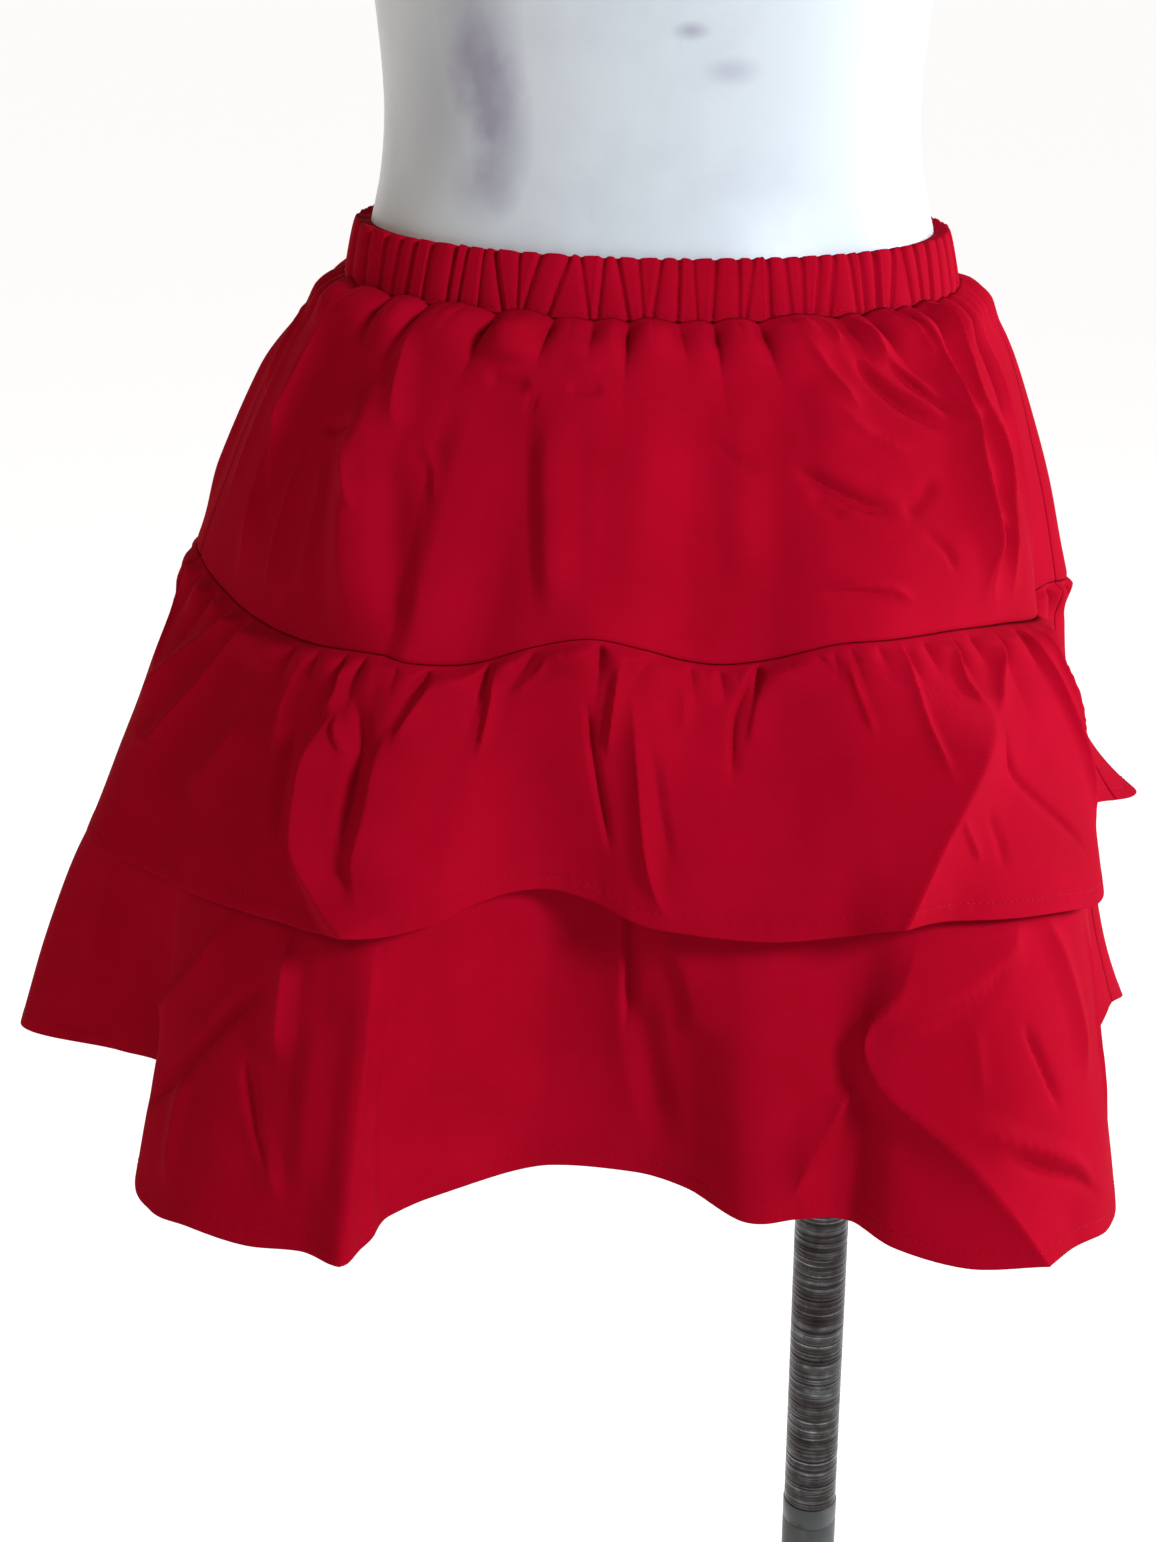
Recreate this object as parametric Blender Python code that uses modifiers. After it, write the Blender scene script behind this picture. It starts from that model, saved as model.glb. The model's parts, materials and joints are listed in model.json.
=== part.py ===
"""Skort with three tiers on a limbless dress form and its stand.

Metres, +Z up.  The front faces -Y and the viewer's right is +X.  The origin is
the centre of the base plate's underside, straight below the dress form's axis.
Angles round the garment start at the front and grow towards the viewer's right.
Heights of cloth are given as drops below the waistband's lower edge.
"""
import math

import bpy
import numpy as np

# ---------------------------------------------------------------- sizes
BAND_BOTTOM = 1.013          # height of the waistband's lower edge
BAND_HEIGHT = 0.024          # a casing for 20 mm elastic
BAND_GATHERS = 56
BAND_THICK = 0.0032          # puffed casing, inside face to mid gather
BAND_GATHER_DEPTH = 0.0013
BAND_SIDE_SLACK = 0.0025     # the casing stands off more at the sides
BAND_BACK_RISE = 0.003       # sits higher at the back
BAND_TILT = 0.0025           # and higher on the viewer's left
WAIST_PUFF = 0.004           # the gathers swell out below the band

WALL = 0.0014                # cloth wall
SEAM_GAP = 0.0003            # between sewn pieces
SIDE_RADIUS = 0.14           # the side seams' smallest distance from the axis
FORM_GAP = 0.0004            # waistband to dress form

UPPER_GATHERS = 42
UPPER_GATHER_DEPTH = 0.0021
RUFFLE_GATHERS = 48
RUFFLE_GATHER_DEPTH = 0.0024
BOTTOM_GATHERS = 30
BOTTOM_GATHER_DEPTH = 0.001
BELL = 0.64                  # how early the hip panel swings out, 1 is a plain cone
BELL_RIGHT = 0.07            # earlier on the viewer's right, later on the left
TUCK_UP = 0.004              # the bottom ruffle's edge goes this far above the seam
TUCK_IN = 0.0038             # and lies this far inside it
UNDERLAY = 0.0062            # below the seam it clears the middle ruffle's gathers
NEST = 0.009                 # and further down it lies this far inside it
NEST_FALL = 0.88             # down to this share of the middle ruffle

FORM_COLUMNS = 36            # points round the dress form and what lies on it
LEG_COLUMNS = 24
SHORTS_WALL = 0.0012
SHORTS_CLEAR = 0.0016        # shorts to dress form
CROTCH_DROP = 0.262
SHORTS_HEM_DROP = 0.335

POLE_X = 0.097               # the pole stands off the form's axis
POLE_RADIUS = 0.0143
SLEEVE_RADIUS = 0.0148
SLEEVE_TOP = 0.335
SOCKET_RADIUS = 0.024
SOCKET_LENGTH = 0.045
COLLAR_RADIUS = 0.030
COLLAR_HEIGHT = 0.040
BASE_RADIUS = 0.175
BASE_THICK = 0.008

# The hip seam: a row for each swell (large radius) or hollow (small radius).
# columns: angle in degrees, radius mm, drop mm
SEAM = (
    (-98, 220, 129), (-77, 199, 138), (-58, 189, 139), (-40, 187, 133), (-27, 176, 133),
    (-17, 175, 122), (-9, 175, 117), (-2, 168, 123), (4, 158, 131), (10, 157, 134),
    (17, 161, 132), (25, 175, 124), (32, 180, 124), (45, 180, 128), (57, 182, 134),
    (70, 187, 142), (79, 178, 144), (87, 190, 143), (96, 207, 148), (112, 201, 142),
    (128, 186, 136), (144, 195, 131), (160, 181, 136), (177, 189, 131), (195, 177, 137),
    (211, 191, 132), (228, 188, 138), (246, 208, 134),
)
# Hems: a row for each ridge or hollow of a flounce.
# columns: angle where it leaves the seam, angle at the hem, radius mm, drop mm,
# swing (1 falls straight, less swings out early, more kicks out at the hem)
MIDDLE_HEM = (
    (-83, -81, 272, 259, 0.85), (-70, -69, 247, 257, 0.85), (-58, -58, 236, 254, 0.82),
    (-47, -46, 229, 249, 0.8), (-40, -40, 229, 247, 0.8), (-32, -32, 224, 243, 0.8),
    (-26, -27, 208, 239, 0.8), (-22, -23, 191, 233, 0.8), (-16, -16, 177, 230, 0.8),
    (-9, -9, 176, 233, 0.8), (-2, -2, 186, 239, 0.8), (5, 5, 195, 240, 0.8),
    (14, 14, 204, 241, 0.8), (22, 22, 212, 238, 0.8), (27, 26.5, 220, 234, 0.8),
    (33, 32, 227, 234, 0.8), (40, 39, 234, 238, 0.8), (49, 48, 238, 245, 0.8),
    (58, 57, 237, 255, 0.65), (67, 65, 229, 259, 0.5), (77, 75, 207, 252, 0.6),
    (86, 85, 219, 252, 1.2), (96, 97, 253, 264, 3.0), (107, 108, 229, 256, 1.5),
    (124, 125, 214, 246, 0.9), (141, 141, 236, 251, 0.8), (158, 158, 207, 241, 0.8),
    (176, 176, 230, 247, 0.8), (194, 194, 202, 239, 0.8), (212, 212, 233, 251, 0.8),
    (230, 230, 213, 243, 0.8), (248, 249, 243, 256, 0.85), (264, 265, 263, 262, 0.85),
)
BOTTOM_HEM = (
    (-88, -87, 316, 374, 0.65), (-78, -77, 264, 366, 0.8), (-71, -70, 243, 368, 0.9),
    (-65, -66, 267, 406, 0.9), (-59, -60, 269, 410, 0.9), (-52, -53, 265, 403, 0.9),
    (-45, -45, 257, 399, 0.9), (-39, -38.5, 250, 393, 0.9), (-35, -33.4, 249, 391, 0.9),
    (-32.5, -33, 233, 390, 0.9), (-30, -33, 217, 388, 0.9), (-27, -31, 193, 386, 0.9),
    (-22, -25, 165, 382, 0.9), (-16, -17, 154, 378, 0.9), (-3, -3, 152, 379, 0.9),
    (5, 6, 164, 381, 0.9), (11, 12.5, 189, 385, 0.9), (19, 19.5, 197, 383, 0.9),
    (26, 25.5, 205, 384, 0.9), (30, 27.5, 228, 387, 0.9), (35, 33, 254, 391, 0.9),
    (41, 39, 266, 391, 0.9), (48, 46, 267, 395, 0.9), (55, 53, 263, 404, 0.9),
    (64, 62, 250, 408, 0.9), (76, 75, 222, 384, 1.0), (88, 89, 239, 371, 1.5),
    (98, 99, 258, 383, 2.2), (111, 111, 245, 379, 1.2), (127, 127, 222, 376, 0.9),
    (143, 143, 262, 396, 0.9), (159, 158, 222, 380, 0.9), (176, 177, 256, 396, 0.9),
    (194, 193, 216, 378, 0.9), (211, 212, 260, 398, 0.9), (229, 228, 229, 380, 0.9),
    (246, 247, 276, 394, 0.9), (261, 262, 300, 384, 0.7),
)
# Dress form sections, from the flat underside to the top of the neck.
# columns: height mm above the waistband's lower edge, half width, front depth, back depth
FORM_SECTIONS = (
    (-244, 150, 104, 110), (-240, 157, 110, 117), (-215, 162, 114, 124), (-160, 162, 115, 127),
    (-100, 154, 112, 119), (-45, 142, 106, 108), (0, 133, 101.5, 100), (24, 127.5, 94, 94),
    (44, 122.5, 89.5, 89), (66, 119.7, 88, 87), (121, 122, 92, 88), (180, 131, 102, 93),
    (235, 140, 112, 99), (290, 148, 111, 102), (335, 157, 100, 101), (370, 160, 86, 94),
    (392, 144, 72, 84), (408, 112, 60, 72), (419, 78, 52, 60), (432, 60, 49, 54),
    (462, 54, 47, 51), (484, 53, 47, 51), (488, 50, 44, 48),
)


# ---------------------------------------------------------------- curves
def loop_curve(knots, values, at):
    """A smooth closed curve through one value per knot, angles in degrees."""
    knots, values = np.array(knots, float), np.array(values, float)
    knots = np.concatenate([knots[-2:] - 360, knots, knots[:3] + 360])
    values = np.concatenate([values[-2:], values, values[:3]])
    at = knots[2] + np.mod(np.asarray(at, float) - knots[2], 360)
    k = np.clip(np.searchsorted(knots, at, "right") - 1, 1, len(knots) - 3)
    slope = (values[2:] - values[:-2]) / (knots[2:] - knots[:-2])
    width = knots[k + 1] - knots[k]
    u = (at - knots[k]) / width
    start, end = slope[k - 1] * width, slope[k] * width
    return ((2 * u**3 - 3 * u**2 + 1) * values[k] + (u**3 - 2 * u**2 + u) * start
            + (3 * u**2 - 2 * u**3) * values[k + 1] + (u**3 - u**2) * end)


def polar(angle, radius):
    """Plan points (x, y) at an angle from the front and a distance from the axis."""
    turn = np.radians(angle)
    return np.stack([radius * np.sin(turn), -radius * np.cos(turn)], axis=-1)


def outward(plan, closed):
    """Unit normals of a plan curve that runs anticlockwise seen from above."""
    if closed:
        along = np.roll(plan, -1, axis=0) - np.roll(plan, 1, axis=0)
    else:
        along = np.gradient(plan, axis=0)
    normal = np.stack([along[:, 1], -along[:, 0]], axis=-1)
    if not closed:
        normal[[0, -1]] = plan[[0, -1]]      # square side seams
    return normal / np.linalg.norm(normal, axis=1, keepdims=True)


def inward(plan, depth):
    """A plan curve drawn in towards the axis."""
    return plan * (1 - depth / np.linalg.norm(plan, axis=1, keepdims=True))


def gather(angle, count, uneven):
    """A row of gathers of unequal width and depth, between -1 and 1."""
    turn = np.radians(angle)
    drift = uneven * (np.sin(3 * turn + 0.7) + 0.6 * np.sin(7 * turn + 2.0))
    depth = 0.8 + 0.2 * np.sin(5 * turn + 1.1)
    return depth * np.sin(count * turn + drift)


def form_section(height, grow=0.0):
    """Half width, front depth and back depth of the dress form at a height."""
    rows = np.array(FORM_SECTIONS) / 1000
    return [np.interp(height, rows[:, 0], rows[:, i]) + grow for i in (1, 2, 3)]


def oval(angle, half_width, front, back):
    """An oval plan: one depth in front of the axis and another behind it."""
    turn = np.radians(angle)
    depth = np.where(np.cos(turn) > 0, front, back)
    return np.stack([half_width * np.sin(turn), -depth * np.cos(turn)], axis=-1)


# ---------------------------------------------------------------- the garment's rings
def seam_ring(angle):
    """Plan and drop of the hip seam."""
    knots, radius, drop = zip(*SEAM)
    plan = polar(angle, loop_curve(knots, radius, angle) / 1000)
    return plan, loop_curve(knots, drop, angle) / 1000


def hem_ring(rows, angle):
    """Plan, drop and swing of a hem, by the angle where its cloth leaves the seam."""
    knots, at_hem, radius, drop, swing = (np.array(column, float) for column in zip(*rows))
    lean = loop_curve(knots, at_hem - knots, angle)
    plan = polar(angle + lean, loop_curve(knots, radius, angle) / 1000)
    return plan, loop_curve(knots, drop, angle) / 1000, loop_curve(knots, swing, angle)


def band_rise(angle):
    """How much higher the waist sits than at the front."""
    turn = np.radians(angle)
    return BAND_BACK_RISE * (1 - np.cos(turn)) / 2 - BAND_TILT * np.sin(turn)


def band_oval(angle, height, grow):
    """An oval round the dress form that stands off more at the sides."""
    half_width, front, back = form_section(height, FORM_GAP)
    slack = BAND_SIDE_SLACK * min(1.0, grow / BAND_THICK)
    return oval(angle, half_width + grow + slack, front + grow, back + grow)


def upper_rows(angle):
    """Hip panel: gathers let go into a bell that ends at the hip seam."""
    rise = band_rise(angle)
    top = band_oval(angle, rise, BAND_THICK + WAIST_PUFF)
    seam, drop = seam_ring(angle)
    bell = BELL - BELL_RIGHT * np.sin(np.radians(angle))
    fading = (0.0, 1.0), (0.1, 0.9), (0.28, 0.55), (0.52, 0.25), (0.77, 0.08), (1.0, 0.0)
    for fall, gathers in fading:
        plan = top + (seam - top) * (fall ** bell)[:, None]
        wave = UPPER_GATHER_DEPTH * gathers * gather(angle, UPPER_GATHERS, 1.0)
        plan = plan + outward(plan, False) * wave[:, None]
        yield plan, SEAM_GAP / 2 - rise + (drop + rise - SEAM_GAP) * fall


def middle_ring(angle, fall):
    """Plan and drop of the middle ruffle at a share of its fall, without its gathers."""
    seam, start = seam_ring(angle)
    hem, end, swing = hem_ring(MIDDLE_HEM, angle)
    return seam + (hem - seam) * (fall ** swing)[:, None], start + (end - start) * fall


def middle_rows(angle):
    """Middle ruffle: gathered into the seam, swinging out to its hem."""
    for fall, gathers in ((0.0, 1.0), (0.12, 1.0), (0.32, 0.55), (0.64, 0.2), (1.0, 0.0)):
        plan, drop = middle_ring(angle, fall)
        wave = RUFFLE_GATHER_DEPTH * gathers * gather(angle, RUFFLE_GATHERS, 1.2)
        yield plan + outward(plan, False) * wave[:, None], drop + SEAM_GAP / 2


def bottom_rows(angle):
    """Bottom ruffle: tucked into the seam, nested in the middle ruffle, then free."""
    seam, start = seam_ring(angle)
    nest, shelf = middle_ring(angle, NEST_FALL)
    nest = inward(nest, NEST)
    hem, end, swing = hem_ring(BOTTOM_HEM, angle)
    yield inward(seam, TUCK_IN), start - TUCK_UP
    for fall in (0.0, 0.12, NEST_FALL / 2):
        plan, drop = middle_ring(angle, fall)
        plan = inward(plan, UNDERLAY + (NEST - UNDERLAY) * fall / NEST_FALL)
        wave = BOTTOM_GATHER_DEPTH * gather(angle, BOTTOM_GATHERS, 1.0)
        yield plan + outward(plan, False) * wave[:, None], drop + SEAM_GAP / 2
    for fall in (0.0, 0.5, 1.0):
        yield nest + (hem - nest) * (fall ** swing)[:, None], shelf + (end - shelf) * fall


# ---------------------------------------------------------------- solids
def material(name, colour, roughness, metallic=0.0):
    finish = bpy.data.materials.new(name)
    finish.use_nodes = True
    shader = finish.node_tree.nodes["Principled BSDF"]
    shader.inputs["Base Color"].default_value = (*colour, 1.0)
    shader.inputs["Roughness"].default_value = roughness
    shader.inputs["Metallic"].default_value = metallic
    return finish


def add_mesh(name, points, faces, finish, smooth_angle=40):
    mesh = bpy.data.meshes.new(name)
    mesh.from_pydata([tuple(p) for p in points], [], faces)
    mesh.shade_smooth()
    mesh.set_sharp_from_angle(angle=math.radians(smooth_angle))
    mesh.materials.append(finish)
    piece = bpy.data.objects.new(name, mesh)
    parts.objects.link(piece)
    return piece


def strip(rows, columns, start, closed, flip):
    """Quads between neighbouring rings of a grid of points."""
    faces = []
    for i in range(rows - 1):
        for j in range(columns if closed else columns - 1):
            a, b = start + i * columns + j, start + i * columns + (j + 1) % columns
            quad = (a, a + columns, b + columns, b)
            faces.append(quad[::-1] if flip else quad)
    return faces


def cloth_wall(name, outer, inner, finish, closed):
    """A wall of cloth between two grids of points, rows from the top down."""
    rows, columns = outer.shape[:2]
    points = np.concatenate([outer.reshape(-1, 3), inner.reshape(-1, 3)])
    inside = rows * columns
    faces = strip(rows, columns, 0, closed, False) + strip(rows, columns, inside, closed, True)
    low = (rows - 1) * columns
    for j in range(columns if closed else columns - 1):
        k = (j + 1) % columns
        faces.append((j, k, inside + k, inside + j))
        faces.append((low + k, low + j, inside + low + j, inside + low + k))
    if not closed:
        last = columns - 1
        for i in range(rows - 1):
            a, b = i * columns, (i + 1) * columns
            faces.append((a, inside + a, inside + b, b))
            faces.append((a + last, b + last, inside + b + last, inside + a + last))
    return add_mesh(name, points, faces, finish)


def panel(name, rings, start, end, columns, finish):
    """A cloth panel between two side seams, from a function that gives its rings."""
    half_gap = math.degrees(SEAM_GAP / 2 / SIDE_RADIUS)
    angle = np.linspace(start + half_gap, end - half_gap, columns)
    outer, inner = [], []
    for plan, drop in rings(angle):
        height = (BAND_BOTTOM - drop)[:, None]
        outer.append(np.hstack([plan, height]))
        inner.append(np.hstack([plan - WALL * outward(plan, False), height]))
    return cloth_wall(name, np.array(outer), np.array(inner), finish, False)


def make_waistband():
    """Elastic casing: puffed gathers outside, plain inside against the form."""
    columns = BAND_GATHERS * 4
    angle = np.arange(columns) * 360 / columns
    wave = BAND_GATHER_DEPTH * gather(angle, BAND_GATHERS, 1.5)
    outer, inner = [], []
    for share, puff, scallop in ((1.0, -0.0012, 0.5), (0.5, 0.0006, 0.0), (0.0, 0.0, 0.0)):
        lift = share * BAND_HEIGHT + band_rise(angle)
        level = (BAND_BOTTOM + lift + scallop * wave)[:, None]
        inside = band_oval(angle, lift, 0.0)
        outside = band_oval(angle, lift, BAND_THICK + puff)
        outer.append(np.hstack([outside + outward(outside, True) * wave[:, None], level]))
        inner.append(np.hstack([inside, level]))
    cloth_wall("waistband", np.array(outer), np.array(inner), red_cloth, True)


def make_shorts():
    """Inner shorts: a hip section over the form and two short legs below it."""
    angle = np.arange(FORM_COLUMNS) * 360 / FORM_COLUMNS
    outer, inner = [], []
    widest = -0.215
    under_band = band_rise(angle) - 2 * SEAM_GAP
    for height in (under_band, -0.045, -0.1, -0.16, widest, -CROTCH_DROP):
        inside = oval(angle, *form_section(np.maximum(height, widest), SHORTS_CLEAR))
        level = np.broadcast_to(BAND_BOTTOM + height, FORM_COLUMNS)[:, None]
        outer.append(np.hstack([inside + SHORTS_WALL * outward(inside, True), level]))
        inner.append(np.hstack([inside, level]))
    cloth_wall("shorts_hip", np.array(outer), np.array(inner), red_cloth, True)

    half_width, front, back = form_section(widest, SHORTS_CLEAR + SHORTS_WALL)
    angle = np.arange(LEG_COLUMNS) * 360 / LEG_COLUMNS
    reach = half_width / 2 - SHORTS_WALL
    for name, side in (("shorts_leg_left", -1), ("shorts_leg_right", 1)):
        outer, inner = [], []
        for share, slim, square in ((0.0, 1.0, 0.12), (0.5, 0.95, 0.05), (1.0, 0.93, 0.0)):
            leg = oval(angle, reach, front, back) * slim
            leg *= (1 + square * np.sin(2 * np.radians(angle)) ** 2)[:, None]
            drop = CROTCH_DROP + SEAM_GAP + share * (SHORTS_HEM_DROP - CROTCH_DROP)
            level = np.full((LEG_COLUMNS, 1), BAND_BOTTOM - drop)
            middle = (side * half_width / 2, 0.0)
            outer.append(np.hstack([leg + middle, level]))
            inner.append(np.hstack([leg + middle - SHORTS_WALL * outward(leg, True), level]))
        cloth_wall(name, np.array(outer), np.array(inner), red_cloth, True)


def make_dress_form():
    """A smooth, limbless torso, closed at the neck and underneath."""
    angle = np.arange(FORM_COLUMNS) * 360 / FORM_COLUMNS
    rings = []
    for height, half_width, front, back in reversed(FORM_SECTIONS):
        plan = oval(angle, half_width / 1000, front / 1000, back / 1000)
        rings.append(np.hstack([plan, np.full((FORM_COLUMNS, 1), BAND_BOTTOM + height / 1000)]))
    points = np.concatenate(rings)
    faces = strip(len(rings), FORM_COLUMNS, 0, True, False)
    faces.append(tuple(range(FORM_COLUMNS)))
    faces.append(tuple(len(points) - 1 - j for j in range(FORM_COLUMNS)))
    add_mesh("dress_form", points, faces, white_plastic, 50)


def turned(name, centre_x, profile, finish, steps=24):
    """A turned piece from its profile (radius, height), down its outer side."""
    mesh = bpy.data.meshes.new(name)
    points = [(radius, 0.0, height) for radius, height in profile]
    mesh.from_pydata(points, [(i, i + 1) for i in range(len(points) - 1)], [])
    piece = bpy.data.objects.new(name, mesh)
    parts.objects.link(piece)
    piece.location.x = centre_x
    screw = piece.modifiers.new("turn", "SCREW")
    screw.steps = screw.render_steps = steps
    screw.use_merge_vertices = True
    screw.merge_threshold = 0.00005
    mesh.materials.append(finish)
    return piece


def make_stand():
    form_bottom = BAND_BOTTOM + FORM_SECTIONS[0][0] / 1000
    socket_low = form_bottom - SEAM_GAP - SOCKET_LENGTH
    bore = POLE_RADIUS + SEAM_GAP
    turned("form_socket", POLE_X, (
        (bore, form_bottom - SEAM_GAP), (SOCKET_RADIUS * 1.5, form_bottom - SEAM_GAP),
        (SOCKET_RADIUS * 1.5, form_bottom - 0.006), (SOCKET_RADIUS, form_bottom - 0.008),
        (SOCKET_RADIUS, socket_low + 0.002), (SOCKET_RADIUS - 0.002, socket_low),
        (bore, socket_low), (bore, form_bottom - SEAM_GAP)), black_plastic)
    turned("pole_upper", POLE_X, (
        (0, form_bottom - 2 * SEAM_GAP), (POLE_RADIUS, form_bottom - 2 * SEAM_GAP),
        (POLE_RADIUS, SLEEVE_TOP + SEAM_GAP), (0, SLEEVE_TOP + SEAM_GAP)), bright_steel)
    floor_of_pole = BASE_THICK + SEAM_GAP
    turned("pole_lower", POLE_X, (
        (0, SLEEVE_TOP), (SLEEVE_RADIUS - 0.001, SLEEVE_TOP), (SLEEVE_RADIUS, SLEEVE_TOP - 0.001),
        (SLEEVE_RADIUS, floor_of_pole), (0, floor_of_pole)), black_plastic)
    bore = SLEEVE_RADIUS + SEAM_GAP
    collar_top = floor_of_pole + COLLAR_HEIGHT
    turned("base_collar", POLE_X, (
        (bore, collar_top), (COLLAR_RADIUS * 0.7, collar_top), (COLLAR_RADIUS * 0.75, collar_top - 0.002),
        (COLLAR_RADIUS * 0.75, floor_of_pole + 0.012), (COLLAR_RADIUS, floor_of_pole + 0.004),
        (COLLAR_RADIUS, floor_of_pole), (bore, floor_of_pole), (bore, collar_top)), black_plastic)
    turned("base_plate", 0.0, (
        (0, BASE_THICK), (BASE_RADIUS - 0.006, BASE_THICK), (BASE_RADIUS - 0.002, BASE_THICK - 0.0015),
        (BASE_RADIUS, BASE_THICK - 0.004), (BASE_RADIUS, 0), (0, 0)), bright_steel, 48)


# ---------------------------------------------------------------- build
for old in list(bpy.data.objects):
    bpy.data.objects.remove(old, do_unlink=True)
parts = bpy.data.collections.new("skort_on_dress_form")
bpy.context.scene.collection.children.link(parts)

red_cloth = material("red_cloth", (0.42, 0.006, 0.016), 0.6)
white_plastic = material("white_plastic", (0.62, 0.64, 0.67), 0.35)
bright_steel = material("bright_steel", (0.55, 0.55, 0.56), 0.25, 1.0)
black_plastic = material("black_plastic", (0.02, 0.022, 0.022), 0.3)

make_waistband()
panel("upper_front", upper_rows, -90, 90, 85, red_cloth)
panel("upper_back", upper_rows, 90, 270, 64, red_cloth)
panel("middle_ruffle_front", middle_rows, -90, 90, 97, red_cloth)
panel("middle_ruffle_back", middle_rows, 90, 270, 73, red_cloth)
panel("bottom_ruffle_front", bottom_rows, -90, 90, 79, red_cloth)
panel("bottom_ruffle_back", bottom_rows, 90, 270, 58, red_cloth)
make_shorts()
make_dress_form()
make_stand()
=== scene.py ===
import json
import math

import bmesh
import bpy
import numpy as np
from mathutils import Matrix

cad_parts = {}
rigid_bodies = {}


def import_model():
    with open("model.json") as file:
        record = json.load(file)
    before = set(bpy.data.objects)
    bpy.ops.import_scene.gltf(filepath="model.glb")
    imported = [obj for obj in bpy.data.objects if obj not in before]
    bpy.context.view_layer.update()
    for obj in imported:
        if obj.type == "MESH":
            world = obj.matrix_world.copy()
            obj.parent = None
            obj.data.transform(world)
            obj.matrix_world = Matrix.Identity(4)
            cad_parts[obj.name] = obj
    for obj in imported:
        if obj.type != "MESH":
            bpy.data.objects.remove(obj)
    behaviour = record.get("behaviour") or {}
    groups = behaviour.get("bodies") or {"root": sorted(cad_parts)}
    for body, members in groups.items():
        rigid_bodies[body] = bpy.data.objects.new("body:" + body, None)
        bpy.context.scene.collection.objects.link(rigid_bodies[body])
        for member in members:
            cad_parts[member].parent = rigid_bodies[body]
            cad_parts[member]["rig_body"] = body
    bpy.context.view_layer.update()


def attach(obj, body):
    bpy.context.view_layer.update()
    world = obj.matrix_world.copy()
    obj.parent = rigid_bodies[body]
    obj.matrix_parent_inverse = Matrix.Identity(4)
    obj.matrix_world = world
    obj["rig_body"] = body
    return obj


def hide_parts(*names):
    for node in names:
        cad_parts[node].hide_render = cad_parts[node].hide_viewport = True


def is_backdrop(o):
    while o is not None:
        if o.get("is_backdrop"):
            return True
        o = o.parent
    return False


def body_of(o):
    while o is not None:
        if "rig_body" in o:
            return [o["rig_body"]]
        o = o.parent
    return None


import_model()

MM = 0.001

# ---------------------------------------------------------------- sizes of the solids
BAND_BOTTOM = 1.013          # height of the waistband's lower edge
BAND_HEIGHT = 0.024          # a casing for 20 mm elastic
BAND_THICK = 0.0032          # puffed casing, inside face to mid gather
BAND_SIDE_SLACK = 0.0025     # the casing stands off more at the sides
BAND_BACK_RISE = 0.003       # sits higher at the back
BAND_TILT = 0.0025           # and higher on the viewer's left
WAIST_PUFF = 0.004           # the gathers swell out below the band
SEAM_GAP = 0.0003            # between sewn pieces
FORM_GAP = 0.0004            # waistband to dress form
BELL = 0.64                  # how early the hip panel swings out, 1 is a plain cone
BELL_RIGHT = 0.07            # earlier on the viewer's right, later on the left
TUCK_UP = 0.004              # the bottom ruffle's edge goes this far above the seam
TUCK_IN = 0.0038             # and lies this far inside it
UNDERLAY = 0.0062            # below the seam it clears the middle ruffle's gathers
NEST = 0.009                 # and further down it lies this far inside it
NEST_FALL = 0.88             # down to this share of the middle ruffle
SHORTS_WALL = 0.0012
SHORTS_CLEAR = 0.0016        # shorts to dress form
CROTCH_DROP = 0.262          # drops are measured down from the waistband's lower edge
SHORTS_HEM_DROP = 0.335
SHORTS_WIDEST = -0.215       # below this height the shorts keep their width
POLE_X = 0.097               # the pole stands off the form's axis
POLE_RADIUS = 0.0143
SLEEVE_RADIUS = 0.0148
SLEEVE_TOP = 0.335
SOCKET_RADIUS = 0.024
SOCKET_LENGTH = 0.045
COLLAR_RADIUS = 0.030
COLLAR_HEIGHT = 0.040
BASE_RADIUS = 0.175
BASE_THICK = 0.008

# ---------------------------------------------------------------- sizes of the looks
CLOTH = 0.0009               # thickness of the shown cloth
HEM_TURN = 0.0085            # depth of the turned hems
HEM_RAISE = 0.00016          # the doubled cloth stands out this much
HEM_GROOVE = 0.00022         # depth of the line that the stitching pulls in
HEM_STITCH_IN = 0.0012       # from the turn's upper edge down to the stitching
HEM_PUCKER = 0.00007         # small waves that the stitching gathers up
SIDE_SEAM_GAP = 0.00004      # between front and back at a side seam
SIDE_SEAM_RADIUS = 0.2       # a side seam's usual distance from the axis
SIDE_SEAM_DIPS = (0.00045, 0.00022)  # the cloth sinks in beside a side seam
SEAM_ROLL = 0.0006           # how far both edges of the hip seam turn in
STITCH_LENGTH = 0.0024
STITCH_PITCH = 0.0033
THREAD = 0.00016             # half the sewing thread's thickness
CREST = 0.65                 # mm that a sharp fold's crest stands above its slopes
CREST_WIDTH = 1.3            # mm in which the crest falls away to each side
SHARP = 0.1                  # folds up to this soft have such a crest
MAIN_GATHER = 1.45           # mm, only deeper gathers part the puffs
FINE_GATHER = 0.6            # width of the others, as a share of a main one's
HIGHEST_PUFF = 4.8           # mm
BACK_FOLDS = 9               # long folds that each tier of the back gets

# Marks on the dress form. columns: centre x, y, z, half size x, y, z, strength
FORM_MARKS = (
    (-0.073, -0.075, 1.118, 0.016, 0.06, 0.034, 0.75),
    (-0.066, -0.075, 1.086, 0.013, 0.06, 0.03, 0.7),
    (-0.088, -0.062, 1.098, 0.02, 0.06, 0.05, 0.35),
    (-0.074, -0.07, 1.062, 0.014, 0.05, 0.016, 0.4),
    (0.013, -0.091, 1.128, 0.008, 0.05, 0.004, 0.7),
    (0.029, -0.088, 1.112, 0.012, 0.05, 0.006, 0.45),
)
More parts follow.
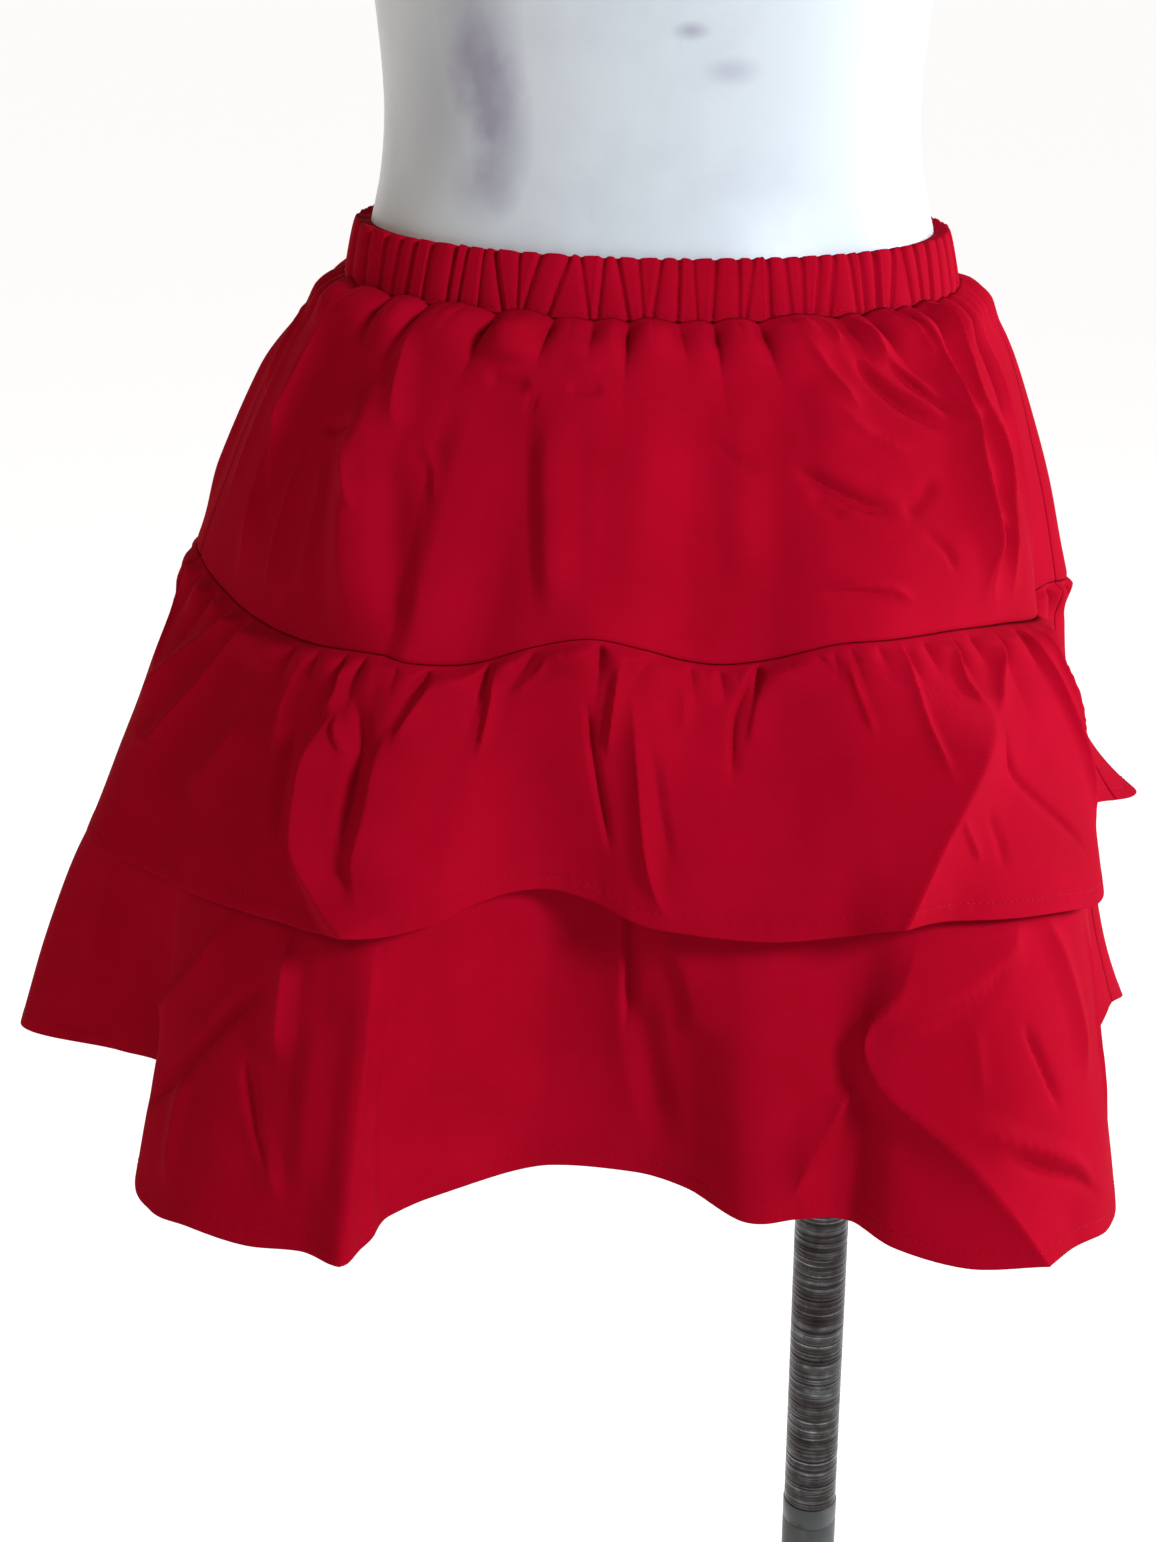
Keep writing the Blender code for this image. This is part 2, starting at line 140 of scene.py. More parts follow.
# The hip seam. columns: angle in degrees, radius mm, drop mm
SEAM = (
    (-98, 220, 129), (-77, 199, 138), (-58, 189, 139), (-40, 187, 133), (-27, 176, 133),
    (-17, 175, 122), (-9, 175, 117), (-2, 168, 123), (4, 158, 131), (10, 157, 134),
    (17, 161, 132), (25, 175, 124), (32, 180, 124), (45, 180, 128), (57, 182, 134),
    (70, 187, 142), (79, 178, 144), (87, 190, 143), (96, 207, 148), (112, 201, 142),
    (128, 186, 136), (144, 195, 131), (160, 181, 136), (177, 189, 131), (195, 177, 137),
    (211, 191, 132), (228, 188, 138), (246, 208, 134),
)
# Hems. columns: angle where it leaves the seam, angle at the hem, radius mm, drop mm, swing
MIDDLE_HEM = (
    (-83, -81, 272, 259, 0.85), (-70, -69, 247, 257, 0.85), (-58, -58, 236, 254, 0.82),
    (-47, -46, 229, 249, 0.8), (-40, -40, 229, 247, 0.8), (-32, -32, 224, 243, 0.8),
    (-26, -27, 208, 239, 0.8), (-22, -23, 191, 233, 0.8), (-16, -16, 177, 230, 0.8),
    (-9, -9, 176, 233, 0.8), (-2, -2, 186, 239, 0.8), (5, 5, 195, 240, 0.8),
    (14, 14, 204, 241, 0.8), (22, 22, 212, 238, 0.8), (27, 26.5, 220, 234, 0.8),
    (33, 32, 227, 234, 0.8), (40, 39, 234, 238, 0.8), (49, 48, 238, 245, 0.8),
    (58, 57, 237, 255, 0.65), (67, 65, 229, 259, 0.5), (77, 75, 207, 252, 0.6),
    (86, 85, 219, 252, 1.2), (96, 97, 253, 264, 3.0), (107, 108, 229, 256, 1.5),
    (124, 125, 214, 246, 0.9), (141, 141, 236, 251, 0.8), (158, 158, 207, 241, 0.8),
    (176, 176, 230, 247, 0.8), (194, 194, 202, 239, 0.8), (212, 212, 233, 251, 0.8),
    (230, 230, 213, 243, 0.8), (248, 249, 243, 256, 0.85), (264, 265, 263, 262, 0.85),
)
BOTTOM_HEM = (
    (-88, -87, 316, 374, 0.65), (-78, -77, 264, 366, 0.8), (-71, -70, 243, 368, 0.9),
    (-65, -66, 267, 406, 0.9), (-59, -60, 269, 410, 0.9), (-52, -53, 265, 403, 0.9),
    (-45, -45, 257, 399, 0.9), (-39, -38.5, 250, 393, 0.9), (-35, -33.4, 249, 391, 0.9),
    (-32.5, -33, 233, 390, 0.9), (-30, -33, 217, 388, 0.9), (-27, -31, 193, 386, 0.9),
    (-22, -25, 165, 382, 0.9), (-16, -17, 154, 378, 0.9), (-3, -3, 152, 379, 0.9),
    (5, 6, 164, 381, 0.9), (11, 12.5, 189, 385, 0.9), (19, 19.5, 197, 383, 0.9),
    (26, 25.5, 205, 384, 0.9), (30, 27.5, 228, 387, 0.9), (35, 33, 254, 391, 0.9),
    (41, 39, 266, 391, 0.9), (48, 46, 267, 395, 0.9), (55, 53, 263, 404, 0.9),
    (64, 62, 250, 408, 0.9), (76, 75, 222, 384, 1.0), (88, 89, 239, 371, 1.5),
    (98, 99, 258, 383, 2.2), (111, 111, 245, 379, 1.2), (127, 127, 222, 376, 0.9),
    (143, 143, 262, 396, 0.9), (159, 158, 222, 380, 0.9), (176, 177, 256, 396, 0.9),
    (194, 193, 216, 378, 0.9), (211, 212, 260, 398, 0.9), (229, 228, 229, 380, 0.9),
    (246, 247, 276, 394, 0.9), (261, 262, 300, 384, 0.7),
)
# Dress form sections.
# columns: height mm above the waistband's lower edge, half width, front depth, back depth
FORM_SECTIONS = (
    (-244, 150, 104, 110), (-240, 157, 110, 117), (-215, 162, 114, 124), (-160, 162, 115, 127),
    (-100, 154, 112, 119), (-45, 142, 106, 108), (0, 133, 101.5, 100), (24, 127.5, 94, 94),
    (44, 122.5, 89.5, 89), (66, 119.7, 88, 87), (121, 122, 92, 88), (180, 131, 102, 93),
    (235, 140, 112, 99), (290, 148, 111, 102), (335, 157, 100, 101), (370, 160, 86, 94),
    (392, 144, 72, 84), (408, 112, 60, 72), (419, 78, 52, 60), (432, 60, 49, 54),
    (462, 54, 47, 51), (484, 53, 47, 51), (488, 50, 44, 48),
)
FORM_BOTTOM = BAND_BOTTOM + FORM_SECTIONS[0][0] / 1000

# ---------------------------------------------------------------- gathers
# Each gather is a narrow valley that starts at a seam and opens out downwards.
# columns: angle at the seam, depth mm, fall that it reaches, degrees it drifts on the way
WAIST_GATHERS = (
    (-86, 1.6, 0.16, -4), (-80, 2.0, 0.30, -5), (-74, 1.3, 0.10, -5), (-68, 2.4, 0.26, -6),
    (-62, 1.3, 0.08, -4), (-55, 2.0, 0.14, -1), (-50, 1.2, 0.07, 0), (-44, 2.8, 0.24, -6),
    (-38, 1.0, 0.06, -1), (-34.5, 1.2, 0.09, -3), (-29, 3.3, 0.20, -4), (-24, 0.9, 0.06, 0),
    (-18, 2.4, 0.12, -1.5), (-14.5, 1.0, 0.06, 0), (-11, 1.6, 0.10, 0), (-5, 3.4, 0.30, -0.5),
    (-1, 0.9, 0.07, 0), (3.5, 1.5, 0.08, 1), (6.5, 0.9, 0.05, 1.5), (9.5, 3.0, 0.32, 2),
    (13.5, 1.2, 0.06, 0.5), (17.5, 3.4, 0.22, 3), (22.5, 1.2, 0.09, 2), (26, 1.0, 0.12, 4),
    (29.8, 1.2, 0.06, 2), (33, 1.8, 0.26, 6), (39, 3.0, 0.30, 10), (43.5, 1.3, 0.10, 4),
    (47.2, 2.4, 0.20, 4), (53, 2.5, 0.18, 3), (58.5, 1.4, 0.10, 2), (62, 2.0, 0.25, 2),
    (67.5, 2.5, 0.32, 2), (73, 1.8, 0.20, 2), (79, 2.2, 0.30, 3), (85, 1.8, 0.18, 2),
)
MIDDLE_GATHERS = (
    (-86, 2.2, 0.30, -2), (-80, 2.4, 0.34, -3), (-74, 1.6, 0.14, -3), (-68, 1.8, 0.20, -6),
    (-62, 1.4, 0.10, -1), (-55, 2.4, 0.13, -1), (-49.5, 1.8, 0.09, 0), (-44, 2.4, 0.32, -2),
    (-40.5, 2.6, 0.30, -2.5), (-35.5, 1.5, 0.06, 0), (-31, 3.2, 0.36, -6), (-27, 1.2, 0.05, 0),
    (-23.3, 2.6, 0.40, -2.5), (-19.5, 1.2, 0.06, 0), (-16.5, 1.5, 0.16, -4), (-12.5, 1.2, 0.06, 0),
    (-7.6, 3.0, 0.40, -1.6), (-4.4, 1.4, 0.10, 0), (-0.5, 1.6, 0.10, -2.5), (2.5, 1.4, 0.07, 0),
    (5, 1.8, 0.09, 0), (7.2, 1.4, 0.07, 0), (9.4, 1.5, 0.12, 0.4), (12, 1.4, 0.07, 0),
    (15.5, 2.8, 0.42, -5.5), (19, 1.4, 0.06, 1), (22, 1.5, 0.08, 2), (24.5, 1.6, 0.10, 0),
    (26.6, 1.8, 0.26, 1.6), (30.5, 1.6, 0.10, 1), (34, 1.8, 0.16, 2), (38, 1.6, 0.12, 1),
    (43.5, 2.4, 0.18, 2), (47.5, 1.6, 0.10, 1), (53, 2.6, 0.30, 0.5), (58.5, 2.4, 0.14, 1),
    (61.5, 1.6, 0.10, 0), (65, 2.2, 0.22, 2), (70, 1.8, 0.16, 2), (75.5, 2.4, 0.30, 3),
    (81, 1.8, 0.16, 2), (87, 2.2, 0.28, 2),
)
# Casing gathers.
# columns: angle at the top edge, angle at the lower edge, depth mm, half width mm
BAND_GATHERS = (
    (-86.5, -86, 1.3, 2.0), (-76.5, -75, 1.5, 2.0), (-68, -66.5, 1.5, 1.8),
    (-60, -59.5, 1.5, 1.6), (-54.5, -55, 1.1, 1.4), (-50, -50.5, 1.6, 1.6),
    (-45.5, -46, 1.5, 1.2), (-39.4, -40, 1.8, 1.4), (-36.6, -37.4, 1.5, 1.0),
    (-33, -33, 1.0, 1.0), (-30.6, -27.8, 1.9, 1.6), (-25.5, -25, 1.1, 1.0),
    (-21.5, -24.2, 1.6, 1.3), (-16, -19.4, 1.7, 1.3), (-13.8, -11.8, 1.0, 1.0),
    (-9.6, -10.4, 1.6, 1.4), (-7.2, -5.0, 1.5, 1.3), (-3.4, -2.4, 0.9, 0.9),
    (0.6, -1.0, 1.5, 1.2), (3.8, 3.3, 1.5, 1.2), (6.4, 6.8, 0.8, 0.8), (10.4, 9.4, 1.6, 1.1),
    (14.6, 14.2, 1.3, 1.1), (17.4, 15.2, 1.2, 1.0), (20.2, 20.0, 1.9, 1.2), (23.6, 24, 0.9, 1.0),
    (27.0, 26.4, 1.1, 1.0), (30.8, 28.6, 1.3, 0.9), (34.2, 31.6, 1.3, 0.9), (37.6, 38, 0.9, 1.0),
    (40.2, 40, 1.2, 1.2), (44, 43, 1.8, 1.5), (49.4, 46.4, 1.3, 1.0), (52.6, 53.4, 1.5, 1.4),
    (57, 56.8, 1.1, 1.2), (62, 60.6, 1.5, 1.4), (67.4, 66, 1.4, 1.6), (73, 72, 1.2, 1.6),
    (80, 78.6, 1.5, 1.8), (87, 86, 1.3, 1.8),
)

# ---------------------------------------------------------------- folds and creases
# Each fold is a path down or across its tier.  A height above 0 is a ridge and below 0 a
# trough.  Soft 0 is a sharp crease and soft 1 a round one.
# columns: height mm, width mm on the viewer's left, width on the right, soft,
#          path of (angle, fall)
UPPER_FOLDS = (
    # long round folds of the hip panel, from the viewer's left
    (5.0, 20, 22, 0.9, ((-43, 0.12), (-47, 0.3), (-48, 0.5), (-46, 0.72), (-42.5, 0.98))),
    (4.2, 12, 34, 1.0, ((-28, 0.2), (-31, 0.5), (-34.5, 1.0))),
    (4.2, 10, 14, 1.0, ((-16.5, 0.2), (-15.8, 0.5), (-14.2, 0.95))),
    (3.2, 16, 22, 1.0, ((-2, 0.26), (-2.5, 0.6), (-4, 0.95))),
    (2.4, 14, 17, 1.0, ((12.5, 0.12), (13, 0.4), (14, 0.85))),
    (2.4, 12, 18, 1.0, ((26, 0.14), (27, 0.3), (28, 0.42))),
    (11.0, 95, 22, 0.3, ((48, 0.12), (50.5, 0.4), (51, 0.65), (53.5, 0.96))),
    (4.0, 26, 70, 0.6, ((-45, 0.2), (-47.5, 0.45), (-46, 0.72), (-43, 0.98))),
    (-3.0, 13, 13, 1.0, ((-40.5, 0.4), (-38.5, 0.7), (-37, 0.98))),
    # puffs and shelves below the waistband
    (3.4, 16, 16, 1.0, ((-24.5, 0.02), (-24.5, 0.13))),
    (1.4, 10, 9, 1.0, ((-11.5, 0.04), (-11.5, 0.16))),
    (-2.6, 4, 7, 0.2, ((-28.5, 0.165), (-25, 0.18), (-21, 0.19), (-19.5, 0.185))),
    (-2.0, 3.5, 7, 0.2, ((-14.5, 0.195), (-11.5, 0.205), (-8, 0.2))),
    (-1.0, 5, 8, 0.8, ((-21, 0.24), (-18.5, 0.25))),
    (0.7, 2.2, 3.5, 0.1, ((-5, 0.205), (-1.5, 0.22), (2.5, 0.222), (8, 0.235))),
    (-0.5, 4, 5, 0.8, ((-9, 0.34), (-3, 0.4), (5, 0.43))),
    # the viewer's left side
    (4.6, 12, 16, 0.0, ((-66, 0.0), (-70.5, 0.2), (-74, 0.5), (-76, 0.97))),
    (2.4, 6, 10, 0.1, ((-71, 0.08), (-73.5, 0.3), (-71, 0.65))),
    (1.8, 7, 11, 0.1, ((-63.5, 0.45), (-65.5, 0.68), (-66.5, 0.92))),
    (1.2, 8, 10, 0.8, ((-57.5, 0.42), (-57, 0.7), (-58, 0.9))),
    (-1.8, 4, 6, 0.1, ((-61, 0.385), (-56, 0.375), (-52, 0.36), (-50, 0.385))),
    (1.8, 5, 8, 0.1, ((-49.5, 0.36), (-48.5, 0.46), (-46, 0.56), (-43.5, 0.6))),
    (3.2, 10, 10, 0.2, ((-41, 0.04), (-43.5, 0.12), (-42, 0.3), (-39, 0.36))),
    (1.4, 6, 8, 0.4, ((-84, 0.1), (-85, 0.4), (-86.5, 0.8))),
    # the viewer's right: a fan of sharp folds below the waistband
    (6.5, 12, 14, 0.0, ((47.5, 0.01), (50.5, 0.12), (51.5, 0.24), (50.3, 0.36), (50, 0.48),
                       (51, 0.64), (53, 0.8), (57, 0.97))),
    (5.4, 9, 12, 0.0, ((56, 0.01), (58.5, 0.14), (59, 0.26), (62.5, 0.38), (64, 0.52),
                       (62.5, 0.66), (62, 0.8), (60.5, 0.97))),
    (3.4, 6, 6, 0.0, ((34.5, 0.0), (36.5, 0.05), (38.5, 0.1), (42.5, 0.18), (47.5, 0.275))),
    (-3.4, 5, 6, 0.1, ((37, 0.06), (40.5, 0.15), (44.5, 0.25), (48.8, 0.34))),
    (2.2, 6, 6, 0.3, ((33.5, 0.08), (38, 0.2), (43, 0.28), (47.5, 0.34))),
    (-3.4, 5, 7, 0.2, ((31.5, 0.06), (35.5, 0.19), (41, 0.31), (47.5, 0.37))),
    (1.6, 5, 5, 0.1, ((22.5, 0.03), (26, 0.1), (29.5, 0.2), (32, 0.28))),
    (1.6, 3, 5, 0.0, ((28.3, 0.0), (29.2, 0.03), (30.2, 0.075))),
    (1.3, 4, 6, 0.1, ((44, 0.0), (47.5, 0.08), (50, 0.14))),
    (3.4, 5, 12, 0.0, ((50, 0.47), (54, 0.54), (58, 0.63), (62.3, 0.72))),
    (2.6, 5, 9, 0.0, ((51.3, 0.25), (55, 0.29), (60, 0.36))),
    (-3.2, 7, 8, 0.1, ((66.5, 0.04), (68.5, 0.16), (69.5, 0.3), (68.5, 0.4))),
    (3.4, 8, 11, 0.1, ((70.5, 0.05), (72, 0.25), (72, 0.5), (73, 0.8), (71, 0.97))),
    (1.4, 5, 8, 0.2, ((79, 0.1), (80, 0.4), (79, 0.75))),
    # slanting creases lower down on the right
    (-4.2, 5, 10, 0.1, ((20.5, 0.41), (23.5, 0.48), (28, 0.545), (32, 0.585), (35.5, 0.6))),
    (2.2, 7, 12, 0.4, ((22, 0.39), (26, 0.46), (31, 0.53), (37, 0.56))),
    (-2.2, 5, 6, 0.1, ((22.5, 0.5), (25, 0.555), (28, 0.6))),
    (-2.6, 7, 7, 0.3, ((35.5, 0.61), (39, 0.57), (42.5, 0.51))),
    (2.0, 5, 5, 0.0, ((22.5, 0.81), (28, 0.815), (33, 0.835), (37.5, 0.885))),
    (-1.6, 4, 5, 0.2, ((23, 0.835), (28, 0.84), (33, 0.86))),
    (1.5, 4, 6, 0.2, ((27, 0.24), (31, 0.33), (36, 0.4), (40, 0.42))),
    (-1.4, 4, 5, 0.2, ((8, 0.33), (13, 0.4), (17, 0.43))),
    (-1.5, 4, 5, 0.2, ((38, 0.66), (42, 0.72), (45, 0.82))),
    (1.4, 4, 6, 0.2, ((-37, 0.36), (-34, 0.44), (-33, 0.55))),
)
MIDDLE_FOLDS = (
    # the big lobe left of the middle
    (7.0, 10, 18, 0.4, ((-43, 0.12), (-44, 0.33), (-44.3, 0.52), (-43.6, 0.68),
                        (-40.2, 0.84), (-35, 0.99))),
    (-4.5, 8, 9, 0.3, ((-41.5, 0.12), (-38.6, 0.27), (-37.6, 0.46), (-37.8, 0.6), (-37, 0.72))),
    (4.6, 6, 30, 0.5, ((-34.5, 0.2), (-35, 0.36), (-35, 0.55), (-35.5, 0.75), (-34, 0.92))),
    (1.8, 3, 4, 0.0, ((-43, 0.2), (-41, 0.3), (-38.5, 0.36))),
    (2.6, 5, 7, 0.0, ((-43, 0.02), (-43.6, 0.12), (-45, 0.24))),
    (2.2, 5, 9, 0.1, ((-51, 0.03), (-53, 0.2), (-52.5, 0.42))),
    (-2.6, 8, 9, 0.5, ((-50.5, 0.22), (-49.8, 0.5), (-49, 0.74))),
    (3.0, 4, 12, 0.0, ((-29.8, 0.02), (-32, 0.16), (-34, 0.3))),
    (2.4, 3, 8, 0.1, ((-22.2, 0.03), (-22.6, 0.2), (-23.6, 0.4))),
    (1.4, 3, 5, 0.3, ((-14.5, 0.03), (-16.5, 0.1), (-20, 0.17))),
    (-2.2, 16, 36, 1.0, ((-20, 0.3), (-19.5, 0.6), (-19, 1.0))),
    (4.0, 14, 66, 0.3, ((-44, 0.2), (-44, 0.6), (-41, 0.9))),
    # the middle
    (3.0, 4, 8, 0.0, ((-5.2, 0.03), (-6, 0.2), (-6.9, 0.44))),
    (-3.0, 3, 6, 0.0, ((-9.8, 0.2), (-9.4, 0.34), (-8, 0.58), (-6.2, 0.8))),
    (4.0, 12, 8, 0.0, ((-4, 0.12), (-3.4, 0.24), (-2.5, 0.46), (-1.5, 0.7), (0.2, 0.89),
                       (2.6, 0.98))),
    (-1.4, 6, 6, 0.6, ((-0.8, 0.3), (0.4, 0.55), (2, 0.78))),
    (2.0, 8, 6, 0.3, ((3.5, 0.03), (3.8, 0.1), (3.4, 0.26))),
    (-2.8, 3, 6, 0.1, ((15, 0.0), (12.6, 0.1), (10.8, 0.2), (10, 0.42))),
    (2.0, 5, 12, 0.2, ((16.4, 0.02), (14.2, 0.14), (12.6, 0.3))),
    (2.0, 4, 4, 0.0, ((26, 0.02), (26.4, 0.15), (27.8, 0.34))),
    (2.6, 6, 5, 0.0, ((34, 0.0), (34, 0.12), (34, 0.26), (35.4, 0.54))),
    # the plane break right of the middle
    (8.0, 30, 22, 0.0, ((45.2, 0.27), (42, 0.36), (38.7, 0.46), (32.8, 0.7), (28.4, 0.95),
                        (27.5, 1.0))),
    (8.0, 80, 30, 0.3, ((47, 0.1), (44, 0.32), (38.5, 0.5), (32.5, 0.72), (27.5, 1.0))),
    (3.6, 8, 12, 0.0, ((53.5, 0.0), (51.4, 0.11), (48, 0.23), (45.6, 0.3))),
    (2.6, 6, 8, 0.0, ((43.8, 0.0), (42.6, 0.1), (43, 0.2), (45.2, 0.28))),
    (-2.4, 5, 6, 0.0, ((45.6, 0.27), (46.6, 0.36), (46.2, 0.48), (50, 0.6), (56, 0.74),
                       (59, 0.85))),
    (1.4, 4, 6, 0.0, ((34.6, 0.62), (37, 0.71), (38.6, 0.8))),
    (-1.2, 5, 6, 0.5, ((40, 0.6), (41.5, 0.72), (41.5, 0.84))),
    (3.6, 8, 11, 0.0, ((59.5, 0.0), (61, 0.12), (62.5, 0.26), (65, 0.5), (66.5, 0.8))),
    (2.8, 6, 8, 0.0, ((63.5, 0.0), (66.5, 0.2), (69, 0.4), (70.5, 0.7))),
    (2.2, 6, 8, 0.1, ((77, 0.02), (79, 0.2), (80, 0.45))),
    # long slanting ridges on the viewer's left
    (3.8, 9, 16, 0.0, ((-66.5, 0.0), (-70.5, 0.18), (-75.5, 0.42), (-78.5, 0.56), (-84, 0.6))),
    (3.4, 9, 14, 0.0, ((-71.5, 0.0), (-77, 0.16), (-83, 0.36), (-87, 0.52))),
    (2.4, 8, 16, 0.4, ((-60, 0.3), (-64, 0.5), (-68, 0.68))),
)
BOTTOM_FOLDS = (
    # the panel left of the sharp fold
    (4.0, 12, 10, 0.0, ((-33.4, 0.08), (-34, 0.41), (-34.5, 0.69), (-35, 1.0))),
    (-4.0, 9, 34, 0.5, ((-29.6, 0.1), (-30.6, 0.45), (-30.4, 0.74), (-29.6, 1.0))),
    (4.5, 18, 11, 0.1, ((-45.6, 0.1), (-45, 0.31), (-44.4, 0.5))),
    (-4.2, 8, 8, 0.0, ((-45.6, 0.22), (-51, 0.36), (-57, 0.54), (-66, 0.8))),
    (4.0, 9, 20, 0.2, ((-53.5, 0.08), (-59, 0.28), (-65, 0.46), (-70, 0.58))),
    (-2.8, 6, 7, 0.1, ((-49.5, 0.46), (-46.5, 0.64), (-43, 0.8))),
    (2.4, 12, 8, 0.2, ((-47, 0.6), (-44, 0.74), (-41.5, 0.88))),
    (2.6, 10, 12, 0.4, ((-57, 0.55), (-57.5, 0.72), (-57, 0.92))),
    (2.4, 12, 12, 1.0, ((-39.5, 0.3), (-39.5, 0.6), (-39, 0.9))),
    # the middle
    (-3.6, 3, 12, 0.1, ((-4.6, 0.0), (-4.5, 0.25), (-4.4, 0.52))),
    (3.0, 22, 26, 1.0, ((-22, 0.1), (-22, 0.5), (-23, 0.9))),
    (-2.4, 16, 16, 1.0, ((-3, 0.3), (-1, 0.6), (2, 0.9))),
    (2.8, 12, 20, 0.9, ((1.5, 0.12), (5, 0.3), (6, 0.5))),
    (5.0, 22, 9, 0.1, ((26.8, 0.52), (23, 0.68), (19.5, 0.82), (17.5, 0.95))),
    # facets on the right
    (8.5, 20, 28, 0.0, ((32.5, 0.08), (30.2, 0.28), (27.2, 0.41), (29, 0.54), (33.8, 0.66),
                        (38, 0.84), (41, 1.0))),
    (4.0, 18, 12, 0.2, ((45, 0.04), (42.5, 0.18), (37, 0.27), (31, 0.35), (28, 0.4))),
    (-3.0, 8, 10, 0.1, ((43.5, 0.2), (36.5, 0.31), (31, 0.39))),
    (-2.6, 5, 7, 0.1, ((42.5, 0.36), (45, 0.5), (47.5, 0.64))),
    (4.0, 14, 9, 0.1, ((33, 0.6), (40, 0.67), (47, 0.76), (53, 0.87))),
    (-3.2, 6, 8, 0.1, ((37.5, 0.69), (43, 0.77), (48.5, 0.83), (53.5, 0.9))),
    (1.2, 6, 6, 0.5, ((37, 0.36), (37, 0.56))),
    (3.6, 12, 14, 0.2, ((47, 0.04), (50.5, 0.2), (53, 0.4), (53, 0.6))),
    (1.6, 6, 8, 0.2, ((60, 0.1), (61, 0.4), (60, 0.8))),
    # the side on the viewer's left
    (2.0, 10, 14, 0.5, ((-80, 0.1), (-81, 0.5), (-82, 0.95))),
)


# ---------------------------------------------------------------- curves of the solids
def cubic(u, start, leave, end, arrive):
    """A smooth step between two values that keeps a given slope at each end."""
    return ((2 * u**3 - 3 * u**2 + 1) * start + (u**3 - 2 * u**2 + u) * leave
            + (3 * u**2 - 2 * u**3) * end + (u**3 - u**2) * arrive)


def loop_curve(knots, values, at):
    """A smooth closed curve through one value per knot, angles in degrees."""
    knots, values = np.array(knots, float), np.array(values, float)
    knots = np.concatenate([knots[-2:] - 360, knots, knots[:3] + 360])
    values = np.concatenate([values[-2:], values, values[:3]])
    at = knots[2] + np.mod(np.asarray(at, float) - knots[2], 360)
    k = np.clip(np.searchsorted(knots, at, "right") - 1, 1, len(knots) - 3)
    slope = (values[2:] - values[:-2]) / (knots[2:] - knots[:-2])
    width = knots[k + 1] - knots[k]
    u = (at - knots[k]) / width
    return cubic(u, values[k], slope[k - 1] * width, values[k + 1], slope[k] * width)


def polar(angle, radius):
    """Points of a plan from their angles and their distances from the axis."""
    turn = np.radians(angle)
    return np.stack([radius * np.sin(turn), -radius * np.cos(turn)], axis=-1)


def half_turn(angle):
    """The same angle, between -180 and 180 degrees."""
    return np.mod(angle + 180, 360) - 180


def around(columns, start=0):
    """Evenly spaced angles all round a tube."""
    return np.arange(columns) * 360 / columns + start


def outward(plan):
    """Unit normals of a closed plan curve that runs anticlockwise seen from above."""
    along = np.roll(plan, -1, axis=0) - np.roll(plan, 1, axis=0)
    normal = np.stack([along[:, 1], -along[:, 0]], axis=-1)
    return normal / np.linalg.norm(normal, axis=1, keepdims=True)


def inward(plan, depth):
    """A plan curve drawn in towards the axis."""
    return plan * (1 - depth / np.linalg.norm(plan, axis=1, keepdims=True))


def smooth(value, start, end):
    """Rises from 0 at start to 1 at end."""
    u = np.clip((value - start) / (end - start), 0, 1)
    return u * u * (3 - 2 * u)


def form_section(height, grow=0.0):
    """Half width, front depth and back depth of the dress form at a height."""
    rows = np.array(FORM_SECTIONS) / 1000
    return [np.interp(height, rows[:, 0], rows[:, i]) + grow for i in (1, 2, 3)]


def oval(angle, half_width, front, back):
    """Plan of a body section that is deeper or shallower behind than in front."""
    turn = np.radians(angle)
    depth = np.where(np.cos(turn) > 0, front, back)
    return np.stack([half_width * np.sin(turn), -depth * np.cos(turn)], axis=-1)


def seam_ring(angle):
    """Plan and drop of the hip seam."""
    knots, radius, drop = zip(*SEAM)
    plan = polar(angle, loop_curve(knots, radius, angle) / 1000)
    return plan, loop_curve(knots, drop, angle) / 1000


def hem_ring(rows, angle):
    """Plan, drop and swing of a flounce's hem."""
    knots, at_hem, radius, drop, swing = (np.array(column, float) for column in zip(*rows))
    lean = loop_curve(knots, at_hem - knots, angle)
    plan = polar(angle + lean, loop_curve(knots, radius, angle) / 1000)
    return plan, loop_curve(knots, drop, angle) / 1000, loop_curve(knots, swing, angle)


def band_rise(angle):
    """How far the waistband's lower edge rises, towards the back and one side."""
    turn = np.radians(angle)
    return BAND_BACK_RISE * (1 - np.cos(turn)) / 2 - BAND_TILT * np.sin(turn)


def band_oval(angle, height, grow):
    """Plan of the dress form at a height, grown to one face of the waistband."""
    half_width, front, back = form_section(height, FORM_GAP)
    slack = BAND_SIDE_SLACK * min(1.0, grow / BAND_THICK)
    return oval(angle, half_width + grow + slack, front + grow, back + grow)


def upper_ring(angle, fall):
    """Plan and drop of the hip panel at a share of its fall."""
    rise = band_rise(angle)
    puffed = BAND_THICK + WAIST_PUFF * smooth(fall[0], 0.0, 0.07) + 0.0004
    top = band_oval(angle, rise, puffed)
    seam, drop = seam_ring(angle)
    bell = BELL - BELL_RIGHT * np.sin(np.radians(angle))
    plan = top + (seam - top) * (fall ** bell)[:, None]
    return plan, SEAM_GAP / 2 - rise + (drop + rise - SEAM_GAP) * fall


def middle_ring(angle, fall):
    """Plan and drop of the middle ruffle at a share of its fall."""
    seam, start = seam_ring(angle)
    hem, end, swing = hem_ring(MIDDLE_HEM, angle)
    return seam + (hem - seam) * (fall ** swing)[:, None], start + (end - start) * fall


def bottom_ring(angle, fall):
    """The bottom ruffle from where it leaves the middle ruffle's cover to its hem."""
    nest, shelf = middle_ring(angle, NEST_FALL)
    nest = inward(nest, NEST)
    hem, end, swing = hem_ring(BOTTOM_HEM, angle)
    return nest + (hem - nest) * (fall ** swing)[:, None], shelf + (end - shelf) * fall


